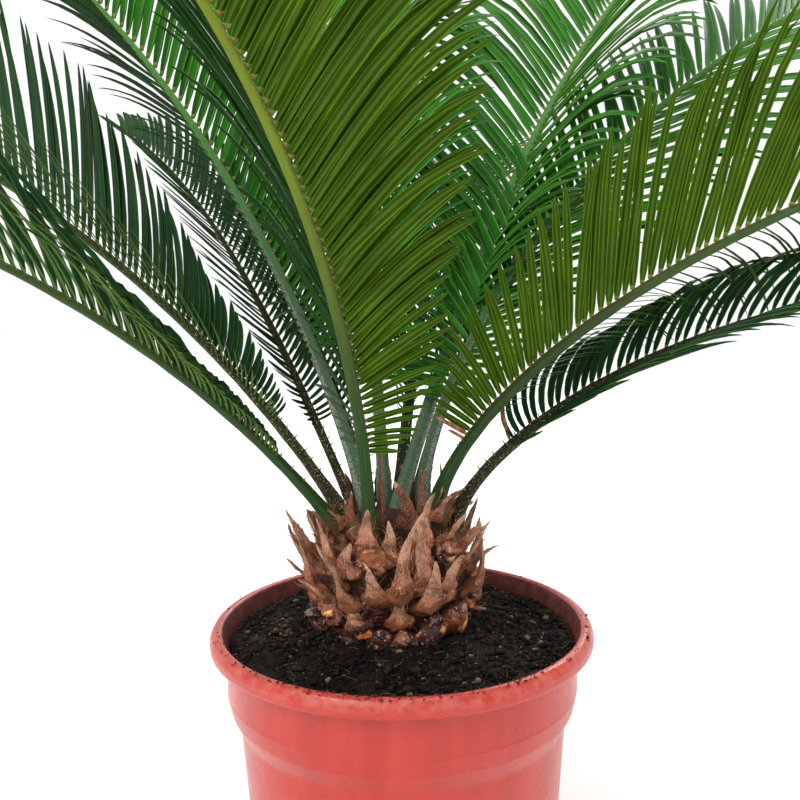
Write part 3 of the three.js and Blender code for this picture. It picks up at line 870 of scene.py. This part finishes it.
# Old leaf bases that stand out: turn and height on the trunk, length, sideways and outward lean, width.
STANDING_SCALES = [
    (-100, 244, 26, 6, 18, 22), (-84, 230, 22, 0, 22, 20), (-118, 226, 20, 10, 26, 18),
    (-48, 244, 30, -8, 20, 19), (-165, 262, 36, 0, 22, 14), (178, 250, 34, 0, 26, 13),
    (-176, 243, 24, 0, 56, 9), (-142, 238, 26, 20, 50, 11), (-150, 240, 54, 4, 8, 17),
    (-124, 247, 38, 24, 14, 9), (-121, 240, 30, 16, 20, 20), (-135, 262, 34, 6, 18, 14),
    (-105, 269, 36, -4, 14, 21), (-91, 268, 30, -4, 14, 18), (-84, 246, 66, -20, 10, 14),
    (-64, 238, 34, -4, 16, 22), (-69, 272, 42, -20, 14, 17), (-38, 272, 24, -6, 26, 13),
    (-24, 266, 30, 6, 40, 16), (-31, 258, 30, -10, 34, 10), (-14, 236, 54, 0, 6, 15),
    (-6, 250, 26, 0, 55, 8), (-8, 223, 18, 0, 84, 8),
]
# Broken leaf bases with raw faces: turn, height and width.
CUT_STUBS = [
    (-100, 266, 20), (-44, 266, 15), (-40, 224, 20), (-14, 229, 17), (-82, 213, 20), (-112, 224, 16),
    (-98, 216, 17), (-58, 222, 18),
]
# Red-brown scales of the bud between the stalks: turn, height, length, sideways and outward lean, width.
BUD_SCALES = [
    (-98, 284, 56, 6, 2, 3.5), (-72, 281, 36, 30, 10, 13), (-128, 280, 26, 0, 12, 9),
    (-140, 281, 18, -10, 16, 8), (-52, 284, 36, 6, 10, 7), (-22, 284, 20, 0, 14, 7), (160, 279, 16, 0, 22, 7),
]


@dataclass
class Scale:
    """An old leaf base: a plump or flat foot that narrows to a dry, twisted point. Its turn is in radians."""

    turn: float
    height: float
    width: float
    depth: float
    length: float
    tilt: float
    tip_tilt: float
    sway: float
    twist: float
    shape: str
    kind: str
    stand: float = 0.0


def scale_points(scale, seed):
    """Rings of points along a scale, and the share of its length at each."""
    v = np.linspace(0, 1, SCALE_STATIONS) ** 0.92
    out, side = outward(scale.turn), sideways(scale.turn)
    root = out * (trunk_surface(scale.height)[0] - 6 + scale.stand) + [TRUNK_X, 0, scale.height]
    lean = np.radians(mix(scale.tip_tilt, scale.tilt, 1 - smoothstep(0.05, 0.5, v)))
    lean = lean + np.radians(16) * np.sin(v * 5 + seed) * v
    sway = np.radians(scale.sway) * smoothstep(0.15, 0.9, v) + 0.2 * np.sin(v * 6 + seed * 2) * v
    along = unit(leaning(lean, out) * np.cos(sway)[:, None] + side * np.sin(sway)[:, None])
    line = root + np.cumsum(along * np.diff(v, prepend=0)[:, None] * scale.length, axis=0)
    across = unit(side - along * (along @ side)[:, None])
    across = turn_about(across, along, np.radians(scale.twist) * smoothstep(0.3, 1, v))
    turns = even_turns(SCALE_ROUND)
    x = np.cos(turns)
    y = np.sin(turns) * (1 - 0.25 * x * x)
    widths, depths = (np.interp(v, SCALE_PLACES, shares) for shares in SCALE_SHAPES[scale.shape])
    widths = (scale.width / 2 * widths)[:, None]
    depths = (scale.depth / 2 * depths)[:, None]
    v = v[:, None]
    ragged = 1 + 0.16 * smooth_noise(np.stack([v * 9 + seed, 0 * v, 0 * v], axis=-1), 1.0)
    grain = np.broadcast_arrays(x * 5.5 + seed, y * 3.0 + seed * 1.7, v * 1.6)
    grain = np.stack(grain, axis=-1)
    ridges = smooth_noise(grain, 1.0) + 0.5 * smooth_noise(grain * 2.3, 1.0, 3.0)
    swell = (1 + 0.12 * ridges) * ragged
    rolled = np.sin(seed * 3) * 0.5 * widths * smoothstep(0.3, 0.7, v)
    outer = np.cross(along, across)
    points = sweep(line, across, outer, widths * x * swell, depths * y * swell + rolled * (x * x - 0.4))
    crumple = smooth_noise(points, 6, seed) * 1.5 + smooth_noise(points, 2.2, seed + 2) * 0.7
    crumple = crumple * np.minimum(depths / 4, 1)
    return points + unit(points - line[:, None]) * crumple[..., None], v


def standing_scales(rng):
    made = [
        Scale(math.radians(turn), height - 3, width, 11, length + 4, tilt=62, tip_tilt=lean, sway=sway,
              twist=rng.normal(0, 45), shape="bottle", kind="felt", stand=1)
        for turn, height, length, sway, lean, width in STANDING_SCALES
    ]
    return made + [
        Scale(math.radians(turn), height - 2, width, width * 0.8, width * 1.1, tilt=66, tip_tilt=50, sway=0,
              twist=0, shape="lump", kind="cut", stand=2)
        for turn, height, width in CUT_STUBS
    ]


def apart(turn, other):
    """Radians between an angle and another one in degrees."""
    return abs(math.remainder(turn - math.radians(other), 2 * math.pi))


def is_free(turn, height):
    """Whether a place on the trunk is clear of the scales and stubs that have a place of their own."""
    return all(
        math.hypot(apart(turn, taken_turn) * TRUNK_RADIUS / 11, (height - taken_height) / 10) >= 1
        for taken_turn, taken_height, *_ in STANDING_SCALES + CUT_STUBS)


def below_stalk(turn, height):
    """Whether a scale sits right under a stalk's foot, where it stays short."""
    return height > 260 and min(apart(turn, frond.azimuth) for frond in FRONDS) < 0.32


def wet_scale(turn, height, tilt, share, rng):
    size = rng.uniform(13, 23)
    return Scale(
        turn, height, width=size, depth=size * rng.uniform(0.5, 0.8), length=size * rng.uniform(0.9, 1.5),
        tilt=tilt + rng.uniform(-4, 18), tip_tilt=rng.normal(30, 16), sway=rng.normal(0, 35),
        twist=rng.normal(0, 30), shape="leaf" if rng.random() < 0.3 else "lump",
        kind="wet" if rng.random() < 1.35 - share * 2.2 else "stub")


def stub_scale(turn, height, tilt, rng):
    size = rng.uniform(12, 18)
    return Scale(
        turn, height, width=size, depth=size * 0.7, length=size * 1.1, tilt=tilt + 10,
        tip_tilt=rng.normal(34, 12), sway=rng.normal(0, 30), twist=rng.normal(0, 20),
        shape="lump", kind="stub")


def dry_scale(turn, height, tilt, share, rng):
    low = below_stalk(turn, height)
    return Scale(
        turn, height, width=mix(25, 16, share) * rng.uniform(0.85, 1.2),
        depth=mix(18, 12, share) * rng.uniform(0.8, 1.15),
        length=mix(38, 34, share) * rng.uniform(0.7, 1.2) * (1 - 0.36 * low),
        tilt=tilt + rng.uniform(-4, 16), tip_tilt=mix(12, 20, share) + rng.normal(0, 9) + 26 * low,
        sway=rng.normal(0, 17), twist=rng.normal(0, 45),
        shape="leaf" if low or rng.random() < 0.15 else "bottle", kind="felt")


def all_scales(rng):
    """Scales round the whole trunk by the golden angle, lumpy and wet below, long and dry above."""
    scales = []
    for i in range(SCALE_COUNT):
        share = i / (SCALE_COUNT - 1)
        height = mix(205, 281, share) + rng.normal(0, 2)
        tilt = trunk_surface(height)[1]
        turn = i * GOLDEN_ANGLE + rng.normal(0, 0.11)
        if not is_free(turn, height):
            continue
        if share < 0.36:
            scales.append(wet_scale(turn, height, tilt, share, rng))
        elif share < 0.75 and rng.random() < 0.2:
            scales.append(stub_scale(turn, height, tilt, rng))
        else:
            scales.append(dry_scale(turn, height, tilt, share, rng))
    return scales


def crown_scales(rng):
    """Long red-brown bud scales between the stalks, and felt round each stalk's foot."""
    made = [
        Scale(math.radians(turn), height, width, 3, length, tilt=lean + 14, tip_tilt=lean, sway=sway,
              twist=rng.normal(0, 40), shape="leaf", kind="bud")
        for turn, height, length, sway, lean, width in BUD_SCALES
    ]
    for i in range(12):
        made.append(Scale(
            math.radians(20 + i * 12), height=rng.uniform(277, 288), width=rng.uniform(5, 8), depth=4,
            length=rng.uniform(16, 36), tilt=rng.uniform(14, 36), tip_tilt=rng.uniform(2, 20),
            sway=rng.normal(0, 8), twist=rng.normal(0, 50), shape="leaf", kind="bud"))
    for frond, offset in itertools.product(FRONDS, (-0.36, 0.36)):
        made.append(Scale(
            math.radians(frond.azimuth) + offset, height=frond.up - rng.uniform(19, 23),
            width=rng.uniform(9, 13), depth=7, length=rng.uniform(9, 13),
            tilt=frond.lean + rng.uniform(20, 40), tip_tilt=frond.lean + rng.normal(16, 6),
            sway=rng.normal(0, 10), twist=rng.normal(0, 30), shape="bottle", kind="felt"))
    return made


TRUNK_FINISHES = ["felt", "dry", "wet", "bud", "dark", "moist"]
FELT, DRY, WET, BUD, DARK, MOIST = range(6)


def scale_picks(scale, points, v):
    """Finish of each face of a scale: felt from a dark foot, partly its own red-brown and partly painted
    shade, to a dry point, or patches of wet and dry.
    """
    centre = (points[1:] + points[:-1]) / 2
    share = (v[1:] + v[:-1]) / 2 + smooth_noise(centre, 2.5, 5.0) * 0.1
    patch = smooth_noise(centre, 8, 9.0)
    if scale.kind == "wet":
        return np.where(patch > 0.35, MOIST, WET)
    if scale.kind == "bud":
        return np.where(share < 0.9, BUD, DRY)
    if scale.kind == "felt":
        # dark foot: partly the bulb's own colour, partly painted shade low on the scale
        foot = np.where(patch > 0.3, MOIST, DARK)
        return np.select([share < 0.36, share < 0.56], [foot, FELT], DRY)
    dry = 0.3 * smoothstep(218, 250, scale.height) - 0.1
    return np.select([patch > dry, patch > dry - 0.5], [WET, MOIST], DARK)


def make_trunk(rng, finishes):
    core, core_faces = lathe(rounded(trunk_profile(), 8), CORE_ROUND, centre=(TRUNK_X, 0))
    outwards = unit((core - [TRUNK_X, 0, 0]) * [1, 1, 0.0])
    core = core + outwards * (smooth_noise(core, 9, 2.0) * 1.6)[:, None]
    # the core's near-black felt stands for the deep shade between the scales: painted shade
    make_piece("trunk_core", core, core_faces, [finishes["core"]], replaces=("trunk",))
    scales = all_scales(rng) + standing_scales(rng) + crown_scales(rng)
    grids, picks = [], []
    for n, scale in enumerate(scales):
        points, v = scale_points(scale, seed=n * 1.37)
        grids.append(points)
        picks.append(scale_picks(scale, points, v).ravel())
    grids = np.array(grids)
    ends = np.repeat([FELT, DRY], len(scales))
    make_piece("trunk_scales", grids, loft_faces(len(grids), SCALE_STATIONS, SCALE_ROUND),
               [finishes[k] for k in TRUNK_FINISHES], np.concatenate([*picks, ends]),
               replaces=("trunk",))
    raw = [scale.kind == "cut" or (scale.kind == "wet" and rng.random() < 0.3) for scale in scales]
    make_raw_faces(grids[raw], rng, finishes)
    make_felt_hairs(grids, scales, rng, finishes["fibre"])


FIBRE_COUNTS = {"felt": 56, "stub": 24, "wet": 14, "bud": 8, "cut": 14}
RAW_ROUND = 28
RAW_RADII = np.array([1.12, 1.0, 0.92, 0.78, 0.6, 0.36, 0.05])[:, None]
RAW_HEIGHTS = np.array([-1.6, 0.7, 0.95, 0.7, 0.5, 0.45, 0.4])[:, None]


def make_raw_faces(stubs, rng, finishes):
    """Raw patches on broken leaf bases: a ragged dark rim, an orange ring and a yellow middle."""
    discs = []
    turns = even_turns(RAW_ROUND)
    for grid in stubs:
        ring = grid[SCALE_STATIONS // 2]
        spot = ring[SCALE_ROUND // 4 + rng.integers(-2, 3)]
        normal = unit(spot - grid[4].mean(axis=0))
        right = unit(np.cross(normal, UP))
        above = np.cross(right, normal)
        lean = rng.uniform(-0.9, 0.3)
        c, s = math.cos(lean), math.sin(lean)
        right, above = c * right + s * above, c * above - s * right
        size = np.linalg.norm(ring[0] - ring[SCALE_ROUND // 2]) * rng.uniform(0.2, 0.34)
        slim = rng.uniform(0.45, 1.0)
        ragged = 1 + 0.16 * np.sin(turns * 3 + spot[0]) + 0.1 * np.sin(turns * 8 + spot[1])
        reach = RAW_RADII * ragged * size
        middle = spot + normal * (RAW_HEIGHTS - 0.22 * size * RAW_RADII ** 2)
        disc = sweep(middle, right[None], above[None], reach * np.cos(turns), reach * np.sin(turns) * slim)
        discs.append(disc + smooth_noise(disc, 1.6, 4.0)[..., None] * normal * 0.5)
    faces = loft_faces(len(discs), len(RAW_RADII), RAW_ROUND)
    tones = np.repeat([0, 0, 1, 1, 2, 2], RAW_ROUND)
    tones = [tones if rng.random() < 0.7 else np.minimum(tones, 1) for _ in discs]
    ends = np.repeat([0, 1], len(discs))
    make_piece("trunk_raw_faces", discs, faces, [finishes[k] for k in ("dark", "cut", "cut_middle")],
               np.concatenate([*tones, ends]))


def make_felt_hairs(grids, scales, rng, finish):
    """Loose fibres that lie along the scales and stand off them a little."""
    roots, axes = [], []
    for grid, scale in zip(grids, scales):
        number = FIBRE_COUNTS[scale.kind]
        i = rng.integers(1, SCALE_STATIONS - 6, number)
        j = rng.integers(0, SCALE_ROUND, number)
        here = grid[i, j]
        ahead = unit(grid[i + 2, j] - here)
        away = unit(here - grid[i].mean(axis=1))
        roots.append(here)
        axes.append(unit(ahead + away * rng.uniform(0, 0.5, (number, 1)) + rng.normal(0, 0.4, (number, 3))))
    roots, axes = np.concatenate(roots), np.concatenate(axes)
    lengths = rng.gamma(3.0, 1.5, len(roots)) + 1.6
    points, faces = strands(roots, axes, lengths, rng.uniform(0.18, 0.38, len(roots)), 0.2, rng)
    make_piece("trunk_fibres", points, faces, [finish])


# ---- soil ----
def soil_level(x, y):
    r = np.hypot(x - TRUNK_X * 0.5, y)
    rise = SOIL_MOUND * (1 - smoothstep(50, 108, r))
    waves = np.sin(x * 0.11 + 1.3) * np.cos(y * 0.09 - 0.4) + 0.6 * np.sin(x * 0.05 - y * 0.16)
    return SOIL_EDGE + SOIL_HEAP + rise + 1.1 * waves


def make_soil(finish, around=220, rings=64):
    wall = BAND_RADIUS - POT_WALL - GAP - 0.4
    turns = even_turns(around)
    top = level_rings(np.linspace(wall, 30, rings), 0.0, turns)
    relief = 1.5 * smooth_noise(top, 11, 1) + 1.2 * smooth_noise(top, 4.5, 2) + 0.7 * smooth_noise(top, 2, 3)
    top[..., 2] = soil_level(top[..., 0], top[..., 1]) + relief
    low = np.array([
        (BASE_RADIUS - POT_WALL - 4, POT_FLOOR + GAP),
        (BASE_RADIUS - POT_WALL - 0.6, POT_FLOOR + 4),
        (STEP_RADIUS - POT_WALL - 0.6, STEP_HEIGHT - 2),
        (wall, BAND_HEIGHT + 2),
    ])
    body = np.concatenate([level_rings(low[:, 0], low[:, 1:], turns), top])
    make_piece("soil_body", body, loft_faces(1, len(body), around), [finish],
               replaces=("potting_soil",))


def lump_shape():
    """A round body of 20 faces: the corners of three crossed oblongs, joined where three are neighbours."""
    phi = (1 + 5 ** 0.5) / 2
    oblong = [(x, y, 0) for y in (phi, -phi) for x in (-1, 1)]
    points = np.concatenate([np.roll(oblong, k, axis=1) for k in range(3)])
    faces = []
    for face in itertools.combinations(range(len(points)), 3):
        a, b, c = points[list(face)]
        if max(np.linalg.norm(side) for side in (a - b, b - c, c - a)) < 2.1:
            faces.append(face if np.linalg.det([a, b, c]) > 0 else face[::-1])
    return unit(points), np.array(faces)


def scatter(name, centres, sizes, rng, finishes, shares=(), flat=0.8):
    """Uneven crumbs at the given centres, dealt out among the finishes by their shares."""
    shape, faces = lump_shape()
    count = len(centres)
    uneven = rng.uniform(0.65, 1.3, (count, len(shape), 1))
    x, y, z = (rng.uniform(low, high, count) for low, high in ((0.7, 1.4), (0.7, 1.4), (0.6, 1.1)))
    stretch = np.stack([x, y, z * flat], axis=-1)
    body = shape[None] * uneven * stretch[:, None] * (sizes / 2)[:, None, None]
    spin = np.broadcast_to(rng.uniform(0, 2 * math.pi, count)[:, None], body.shape[:2])
    body = turn_about(body, np.broadcast_to(UP, body.shape), spin)
    corners = faces[None] + (np.arange(count) * len(shape))[:, None, None]
    tones = rng.choice(len(shares), count, p=shares) if shares else np.zeros(count)
    picks = np.repeat(tones, len(faces))
    make_piece(name, centres[:, None] + body, [corners.reshape(-1, 3)], finishes, picks)


def spread_on_soil(count, rng):
    """At most count points on the soil between the trunk and the pot."""
    inner, outer = SOIL_SPREAD
    r = np.sqrt(rng.uniform(inner ** 2, outer ** 2, count))
    a = rng.uniform(0, 2 * math.pi, count)
    x = r * np.cos(a)
    y = r * np.sin(a)
    keep = np.hypot(x - TRUNK_X, y) > TRUNK_RADIUS - 1
    return np.stack([x, y, soil_level(x, y)], axis=-1)[keep]


def make_crumbs(rng, finishes, count=9600):
    """Dark crumbs all over the soil, with a few large and a few pale ones."""
    centres = spread_on_soil(count, rng)
    sizes = rng.gamma(1.4, 0.6, len(centres)) + 0.7
    sizes = np.where(rng.random(len(sizes)) < 0.03, rng.uniform(3, 6, len(sizes)), sizes)
    centres[:, 2] += sizes * rng.uniform(0, 0.35, len(sizes)) + 0.3
    scatter("soil_crumbs", centres, sizes, rng, finishes, shares=(0.66, 0.3, 0.04))


def make_rim_crumbs(rng, finish):
    """Soil on the rim, most of it at the front."""
    turns = [rng.normal(-92, 38, 210), rng.normal(-57, 3, 40), rng.uniform(0, 360, 90)]
    turns = np.radians(np.concatenate(turns))
    radii = rng.uniform(RIM_INNER_RADIUS + 0.5, RIM_RADIUS - 1.5, len(turns))
    drop = (radii - RIM_CREST) ** 2 * np.where(radii < RIM_CREST, 0.09, 0.03)
    centres = np.stack([radii * np.cos(turns), radii * np.sin(turns), POT_HEIGHT - drop], axis=-1)
    scatter("rim_crumbs", centres, rng.gamma(1.5, 0.35, len(turns)) + 0.4, rng, [finish])


def make_bark_bits(rng, finish, count=34):
    """Flat bits of bark on the soil, left of the trunk."""
    x, y = rng.uniform(-92, -46, count), rng.uniform(-34, 22, count)
    centres = np.stack([x, y, soil_level(x, y) + rng.uniform(0.8, 2.6, count)], axis=-1)
    scatter("soil_bark_bits", centres, rng.uniform(2, 6.5, count), rng, [finish], flat=0.4)


def make_soil_fibres(rng, finish, count=330):
    """Fine dry roots that lie on the soil."""
    roots = spread_on_soil(count, rng)
    roots[:, 2] += 1.2
    a = rng.uniform(0, 2 * math.pi, len(roots))
    axes = unit(np.stack([np.cos(a), np.sin(a), rng.normal(0.12, 0.15, len(a))], axis=-1))
    lengths = rng.gamma(2.5, 3.0, len(a)) + 2
    widths = rng.uniform(0.2, 0.5, len(a))
    points, faces = strands(roots, axes, lengths, widths, 0.22, rng, stations=8)
    make_piece("soil_fibres", points, faces, [finish])


# ---- pot ----
def make_pot(finishes):
    inside = BAND_RADIUS - POT_WALL
    profile = [
        [0, 0], [BASE_RADIUS - 3, 0], [BASE_RADIUS, 3],
        [STEP_RADIUS - 0.8, STEP_HEIGHT - 3], [STEP_RADIUS, STEP_HEIGHT],
        [mix(STEP_RADIUS, BAND_RADIUS, 0.72), mix(STEP_HEIGHT, BAND_HEIGHT, 0.5)],
        [BAND_RADIUS, BAND_HEIGHT], [BAND_RADIUS + 0.25, BAND_HEIGHT + 1.2], [BAND_RADIUS, BAND_HEIGHT + 2.4],
        [BAND_RADIUS, LIP_HEIGHT - 3], [BAND_RADIUS + 0.6, LIP_HEIGHT],
        [RIM_RADIUS - 1, LIP_HEIGHT], [RIM_RADIUS, LIP_HEIGHT + 2.5], [RIM_RADIUS - 0.2, POT_HEIGHT - 5],
        [RIM_RADIUS - 2.4, POT_HEIGHT - 1], [RIM_CREST, POT_HEIGHT],
        [RIM_INNER_RADIUS + 0.6, POT_HEIGHT - 1], [RIM_INNER_RADIUS - 0.4, POT_HEIGHT - 4],
        [inside, LIP_HEIGHT - 4], [inside, BAND_HEIGHT],
        [STEP_RADIUS - POT_WALL, STEP_HEIGHT - 2], [BASE_RADIUS - POT_WALL, POT_FLOOR + 3],
        [BASE_RADIUS - POT_WALL - 3, POT_FLOOR], [0, POT_FLOOR],
    ]
    line = rounded(profile, 1.3, steps=5)
    points, faces = lathe(line, POT_ROUND)
    top = int(np.argmax(line[:, 1] + 0.001 * line[:, 0]))
    inner = np.repeat(np.arange(len(line) - 3) >= top + 4, POT_ROUND)
    picks = np.concatenate([inner, np.zeros(POT_ROUND), np.ones(POT_ROUND)])
    make_piece("pot_shell", points, faces, finishes, picks, replaces=("pot",))


# ---- camera, stage and light ----
CAMERA_PLACE = (0, -0.60808, 0.44465)  # metres
CAMERA_LENS = 45.11
CAMERA_PITCH = 8.4548  # degrees below level
CAMERA_YAW = -0.129
CAMERA_ROLL = -0.94


def make_camera():
    """Looks slightly down at the crown and the pot's rim from the front."""
    lens = bpy.data.cameras.new("camera")
    lens.sensor_width = 36
    lens.lens = CAMERA_LENS
    lens.clip_start = 0.01
    camera = bpy.data.objects.new("camera", lens)
    matrix = Matrix.Translation(CAMERA_PLACE)
    for turn, axis in ((CAMERA_YAW, "Z"), (90 - CAMERA_PITCH, "X"), (CAMERA_ROLL, "Z")):
        matrix = matrix @ Matrix.Rotation(math.radians(turn), 4, axis)
    camera.matrix_world = matrix
    bpy.context.scene.collection.objects.link(camera)
    bpy.context.scene.camera = camera


def make_floor(finish, radius=6, corners=96):
    mesh = bpy.data.meshes.new("studio_floor")
    edge = [radius * outward(turn) for turn in even_turns(corners)]
    mesh.from_pydata(edge, [], [list(range(corners))])
    mesh.materials.append(finish)
    floor = bpy.data.objects.new("studio_floor", mesh)
    bpy.context.scene.collection.objects.link(floor)


def add_light(name, place, aim, size, power):
    lamp = bpy.data.lights.new(name, "AREA")
    lamp.shape = "DISK"
    lamp.size = size
    lamp.energy = power
    light = bpy.data.objects.new(name, lamp)
    light.location = place
    light.rotation_mode = "QUATERNION"
    light.rotation_quaternion = (Vector(aim) - Vector(place)).to_track_quat("-Z", "Y")
    light.visible_camera = False
    bpy.context.scene.collection.objects.link(light)


def light_studio():
    world = bpy.data.worlds.new("studio_air")
    world.use_nodes = True
    sky = world.node_tree.nodes["Background"]
    sky.inputs[0].default_value = (1, 1, 1, 1)
    sky.inputs[1].default_value = 1.05
    bpy.context.scene.world = world
    add_light("key", (-1.2, -1.6, 2.2), (0, 0, 0.3), 1.4, 42)
    add_light("back", (0.6, 1.9, 1.9), (0, 0, 0.5), 1.6, 34)
    add_light("top", (0.1, -0.1, 2.6), (0, 0, 0.4), 1.2, 24)
    bpy.context.scene.view_settings.view_transform = "Standard"


# ---- assembly ----
make_camera()
light_studio()
make_floor(floor_finish())

leaf_kinds = {kind: leaf_finishes(kind) for kind in LEAF_SHADES}
joint_and_dry = [
    spotted_finish("leaflet_joint", 3, 0.35, 0.65, (88, 104, 34), (124, 120, 48), 0.6),
    spotted_finish("leaflet_dried", 2.5, 0.3, 0.7, (104, 62, 34), (184, 128, 78), 0.7, depth=0.3),
]
stalk_kinds = {
    "yellowing": smooth_stalk_finish("stalk_yellowing", (30, 60, 20), (106, 122, 22), first=0.4),
    "smooth": smooth_stalk_finish("stalk_smooth", (28, 58, 20), (44, 74, 26), "upper", first=-1.5),
    "dark": smooth_stalk_finish("stalk_dark", (24, 50, 34), (44, 84, 40)),
    "speckled": speckled_stalk_finish(),
    "felted": felted_stalk_finish(),
}
for frond in FRONDS:
    frond.rib = rib_curve(frond)
for number, frond in enumerate(FRONDS):
    make_stalk(frond, stalk_kinds[frond.stalk])
    leaf_looks = leaf_kinds[frond.leaf] + joint_and_dry + leaf_kinds.get(frond.row.leaf, [])
    make_leaflets(frond, leaf_looks, np.random.default_rng(LEAFLET_SEED + number))
spine = spotted_finish("stalk_spine", 2, 0.3, 0.7, (136, 84, 52), (204, 160, 112), 0.5)
make_spines(np.random.default_rng(SPINE_SEED), spine)

make_trunk(np.random.default_rng(TRUNK_SEED), {
    # the core shows only between the scales, and its near-black felt is painted deep shade there
    "core": felt_finish("trunk_core_felt_painted_shade", (24, 14, 11), (56, 34, 25), (88, 58, 42)),
    "felt": felt_finish("trunk_felt", (102, 58, 42), (184, 122, 92), (232, 188, 156)),
    # dark felt: its own darker colour on stubs and raw rims, and partly painted shade at the feet of the felt
    # scales
    "dark": felt_finish("trunk_dark_felt", (80, 40, 26), (152, 90, 60), (200, 132, 92)),
    "dry": felt_finish("trunk_dry_point", (120, 78, 60), (194, 142, 114), (240, 204, 176)),
    "wet": wet_scale_finish("trunk_wet_scale", (26, 10, 10), (68, 26, 22), (112, 48, 30)),
    "moist": wet_scale_finish("trunk_moist_scale", (84, 42, 32), (164, 98, 68), (222, 150, 96)),
    "cut": cut_face_finish("trunk_cut_rim", (138, 60, 28), (222, 138, 66)),
    "cut_middle": cut_face_finish("trunk_cut_middle", (212, 152, 62), (244, 212, 118)),
    "bud": felt_finish("trunk_bud_scale", (70, 36, 28), (130, 78, 60), (198, 146, 120)),
    "fibre": felt_finish("trunk_loose_fibre", (134, 90, 66), (178, 128, 98), (214, 170, 138)),
})
make_soil(soil_finish())
litter = np.random.default_rng(LITTER_SEED)
make_crumbs(litter, [
    crumb_finish("soil_crumb_dark", (8, 6, 5), (27, 21, 18)),
    crumb_finish("soil_crumb_brown", (24, 18, 14), (56, 44, 36)),
    crumb_finish("soil_crumb_pale", (84, 66, 52), (140, 120, 102)),
])
make_rim_crumbs(litter, crumb_finish("soil_rim_crumb", (44, 28, 22), (112, 76, 60)))
make_bark_bits(litter, crumb_finish("soil_bark_bit", (40, 29, 22), (92, 72, 56)))
make_soil_fibres(litter, crumb_finish("soil_root", (74, 56, 44), (136, 114, 94)))
make_pot([pot_finish(), pot_inside_finish()])
